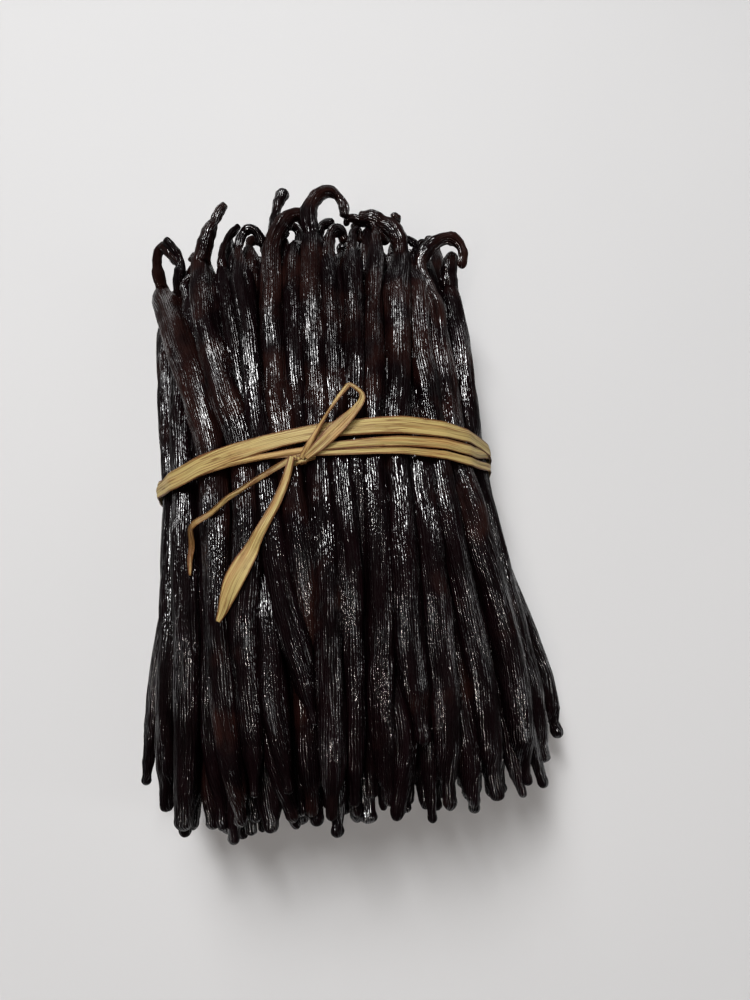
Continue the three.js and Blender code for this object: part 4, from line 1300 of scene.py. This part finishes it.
# %% The material of the raffia
STRAW = (0.245, 0.142, 0.040, 1), (0.505, 0.410, 0.160, 1)
PALE_BAND = (0.45, 0.340, 0.127, 1)
SUNNED_STREAK = (0.38, 0.205, 0.068, 1)
BROWNED_EDGE = (0.130, 0.046, 0.009, 1)


def raffia_finish():
    """Straw streaked along the fibres, browned where it is creased, split or at an edge."""
    material, wire, shader = new_finish("raffia", Specular_IOR_Level=0.35)
    fibres = wire.streaks(0.00028, 0.030, 3.0, 0.65, 0.15)
    bands = wire.streaks(0.0011, 0.045)
    stains = wire.noise(wire.place(), 140.0, 3.0, 0.6)
    sunned = wire.streaks(0.0024, 0.022)
    straw = fibres.ramp(0.36, 0.62).mix(*STRAW)
    straw = bands.ramp(0.42, 0.66).mix(straw, PALE_BAND)
    straw = (sunned.ramp(0.52, 0.64) * 0.55).mix(straw, SUNNED_STREAK)
    splits = wire.math("ABSOLUTE", bands - 0.5)
    creases = fibres.ramp(0.58, 0.68) * 0.5 + stains.ramp(0.56, 0.74) * 0.35
    creases = creases + splits.ramp(0.028, 0.006) * 0.75
    browned = creases + (wire.spot("edge") * 1.2 + stains * 0.9).ramp(0.65, 1.3) * 0.9
    wire.feed(shader, "Base Color", browned.mix(straw, BROWNED_EDGE))
    wire.feed(shader, "Roughness", fibres * 0.2 + 0.45)
    wire.feed(shader, "Normal", wire.bump(0.00012, fibres, 0.9))
    return material


raffia = raffia_finish()
raffia_pieces = [raffia_turns, raffia_ends, raffia_knot]
for piece in raffia_pieces:
    piece.data.materials.append(raffia)
print("the raffia has its straw colour")

# %% [markdown]
# ## The room
#
# The bundle lies on a plain pale floor. Oily pods show the lamps themselves, in dashes along
# their crowns, so each stretch of the bundle has a lamp that it mirrors to the eye: the key
# lamp for the middle, a wide far lamp for the stem half, a back lamp for the hooks, and a long
# narrow lamp in front for the blossom half. Two weak lamps at the sides keep the floor even.
# Overhead the room is dark, and all round it are a pale wall and a pale far floor.

# %% The floor
FLOOR_SIZE = 8.0
FLOOR_CLOUDS = (0.570, 0.572, 0.578, 1), (0.620, 0.618, 0.620, 1)
FAR_GLOW = (0.70, 0.705, 0.715, 1)
NO_LIGHT = (0, 0, 0, 1)
FAR_FLOOR = (0.28, 1.1)    # metres from the bundle, where the floor turns into the pale distance
FAR_DARK = (0.34, 1.1)     # and where the lamps' own light on it fades out


def floor_finish():
    """A pale floor whose own colour gives way to an even glow far from the bundle."""
    material, wire, shader = new_finish("pale_floor", Roughness=0.7, Emission_Strength=1.0)
    place = wire.place()
    away = wire.node("ShaderNodeVectorMath", {"operation": "LENGTH"}, {0: place}, "Value")
    cloud = wire.noise(place, 6.0).mix(*FLOOR_CLOUDS)
    wire.feed(shader, "Emission Color", away.ramp(*FAR_FLOOR).mix(NO_LIGHT, FAR_GLOW))
    wire.feed(shader, "Base Color", away.ramp(*FAR_DARK).mix(cloud, NO_LIGHT))
    return material


bpy.ops.mesh.primitive_plane_add(size=FLOOR_SIZE)
floor = bpy.context.object
floor.name = "floor"
floor.data.materials.append(floor_finish())
floor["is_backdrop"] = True
print("floor", FLOOR_SIZE, "m across")

# %% The lamps
def add_lamp(name, place, size, power, colour):
    """A soft lamp of `size` (across, along) at `place`, in metres, that faces the bundle."""
    light = bpy.data.lights.new(name, "AREA")
    light.shape = "RECTANGLE"
    light.size, light.size_y = size
    light.energy = power
    light.color = colour
    lamp = bpy.data.objects.new(name, light)
    lamp.location = place
    lamp.rotation_euler = (LAMP_AIM - Vector(place)).to_track_quat("-Z", "Y").to_euler()
    bpy.context.collection.objects.link(lamp)


LAMP_AIM = Vector((0, 0, 0.03))
PLAIN, WARM = (1, 1, 1), (1.0, 0.92, 0.86)
add_lamp("key_lamp", (-0.13, 0.35, 0.98), (0.17, 0.36), 6.4, PLAIN)
add_lamp("far_lamp", (-0.13, 0.70, 0.98), (0.46, 0.36), 5.4, PLAIN)
add_lamp("back_lamp", (-0.20, 1.35, 0.95), (0.14, 0.60), 1.7, PLAIN)
add_lamp("front_lamp", (-0.15, -0.30, 1.05), (0.012, 0.80), 3.2, WARM)
add_lamp("left_lamp", (-0.9, -0.2, 0.9), (0.12, 0.9), 0.4, PLAIN)
add_lamp("right_lamp", (0.9, -0.3, 0.9), (0.12, 0.9), 1.5, PLAIN)
print("six lamps")

# %% The room's light
PALE_WALL = (0.76, 0.765, 0.775, 1)
DIM_WALL = (0.40, 0.402, 0.408, 1)
DARK_OVERHEAD = (0.02, 0.02, 0.022, 1)
WALL_TOP = (0.04, 0.22)    # rise of a direction, 0 level and 1 straight up, where the wall ends


def make_world():
    """A room with a pale wall all round, that lights the bundle only from low down.

    Overhead it is dark for everything but the eye, so that only the lamps shine on the pods."""
    room = bpy.data.worlds.new("room")
    room.use_nodes = True
    wire = Wire(room.node_tree)
    way = wire.node("ShaderNodeTexCoord", {}, {}, "Generated")
    height = wire.node("ShaderNodeSeparateXYZ", {}, {0: way}, "Z")
    light = height.ramp(*WALL_TOP).mix(DIM_WALL, DARK_OVERHEAD)
    seen = wire.node("ShaderNodeLightPath", {}, {}, "Is Camera Ray")
    wire.feed(room.node_tree.nodes["Background"], "Color", seen.mix(light, PALE_WALL))
    return room


bpy.context.scene.world = make_world()
bpy.context.scene.view_settings.view_transform = "Standard"
print("the room is lit")

# %% [markdown]
# ## Joining the pieces to the CAD model
#
# Nothing in this bundle moves, so every piece rides on the one body. The pods and their core
# stand for the CAD heap, and the raffia stands for the CAD tie.

# %% Ride on the one body and replace the CAD parts
for piece in [*pieces, core]:
    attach(piece, "root")
    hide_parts("pod_bundle")
for piece in raffia_pieces:
    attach(piece, "root")
    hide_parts("raffia_tie")

new_low, new_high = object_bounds()
sizes = {"cad": [list(cad_low), list(cad_high)], "visual": [list(new_low), list(new_high)]}
print("grown by", [round((a - b) / MM, 1) for a, b in zip(new_high, cad_high)],
      [round((a - b) / MM, 1) for a, b in zip(cad_low, new_low)], "mm")
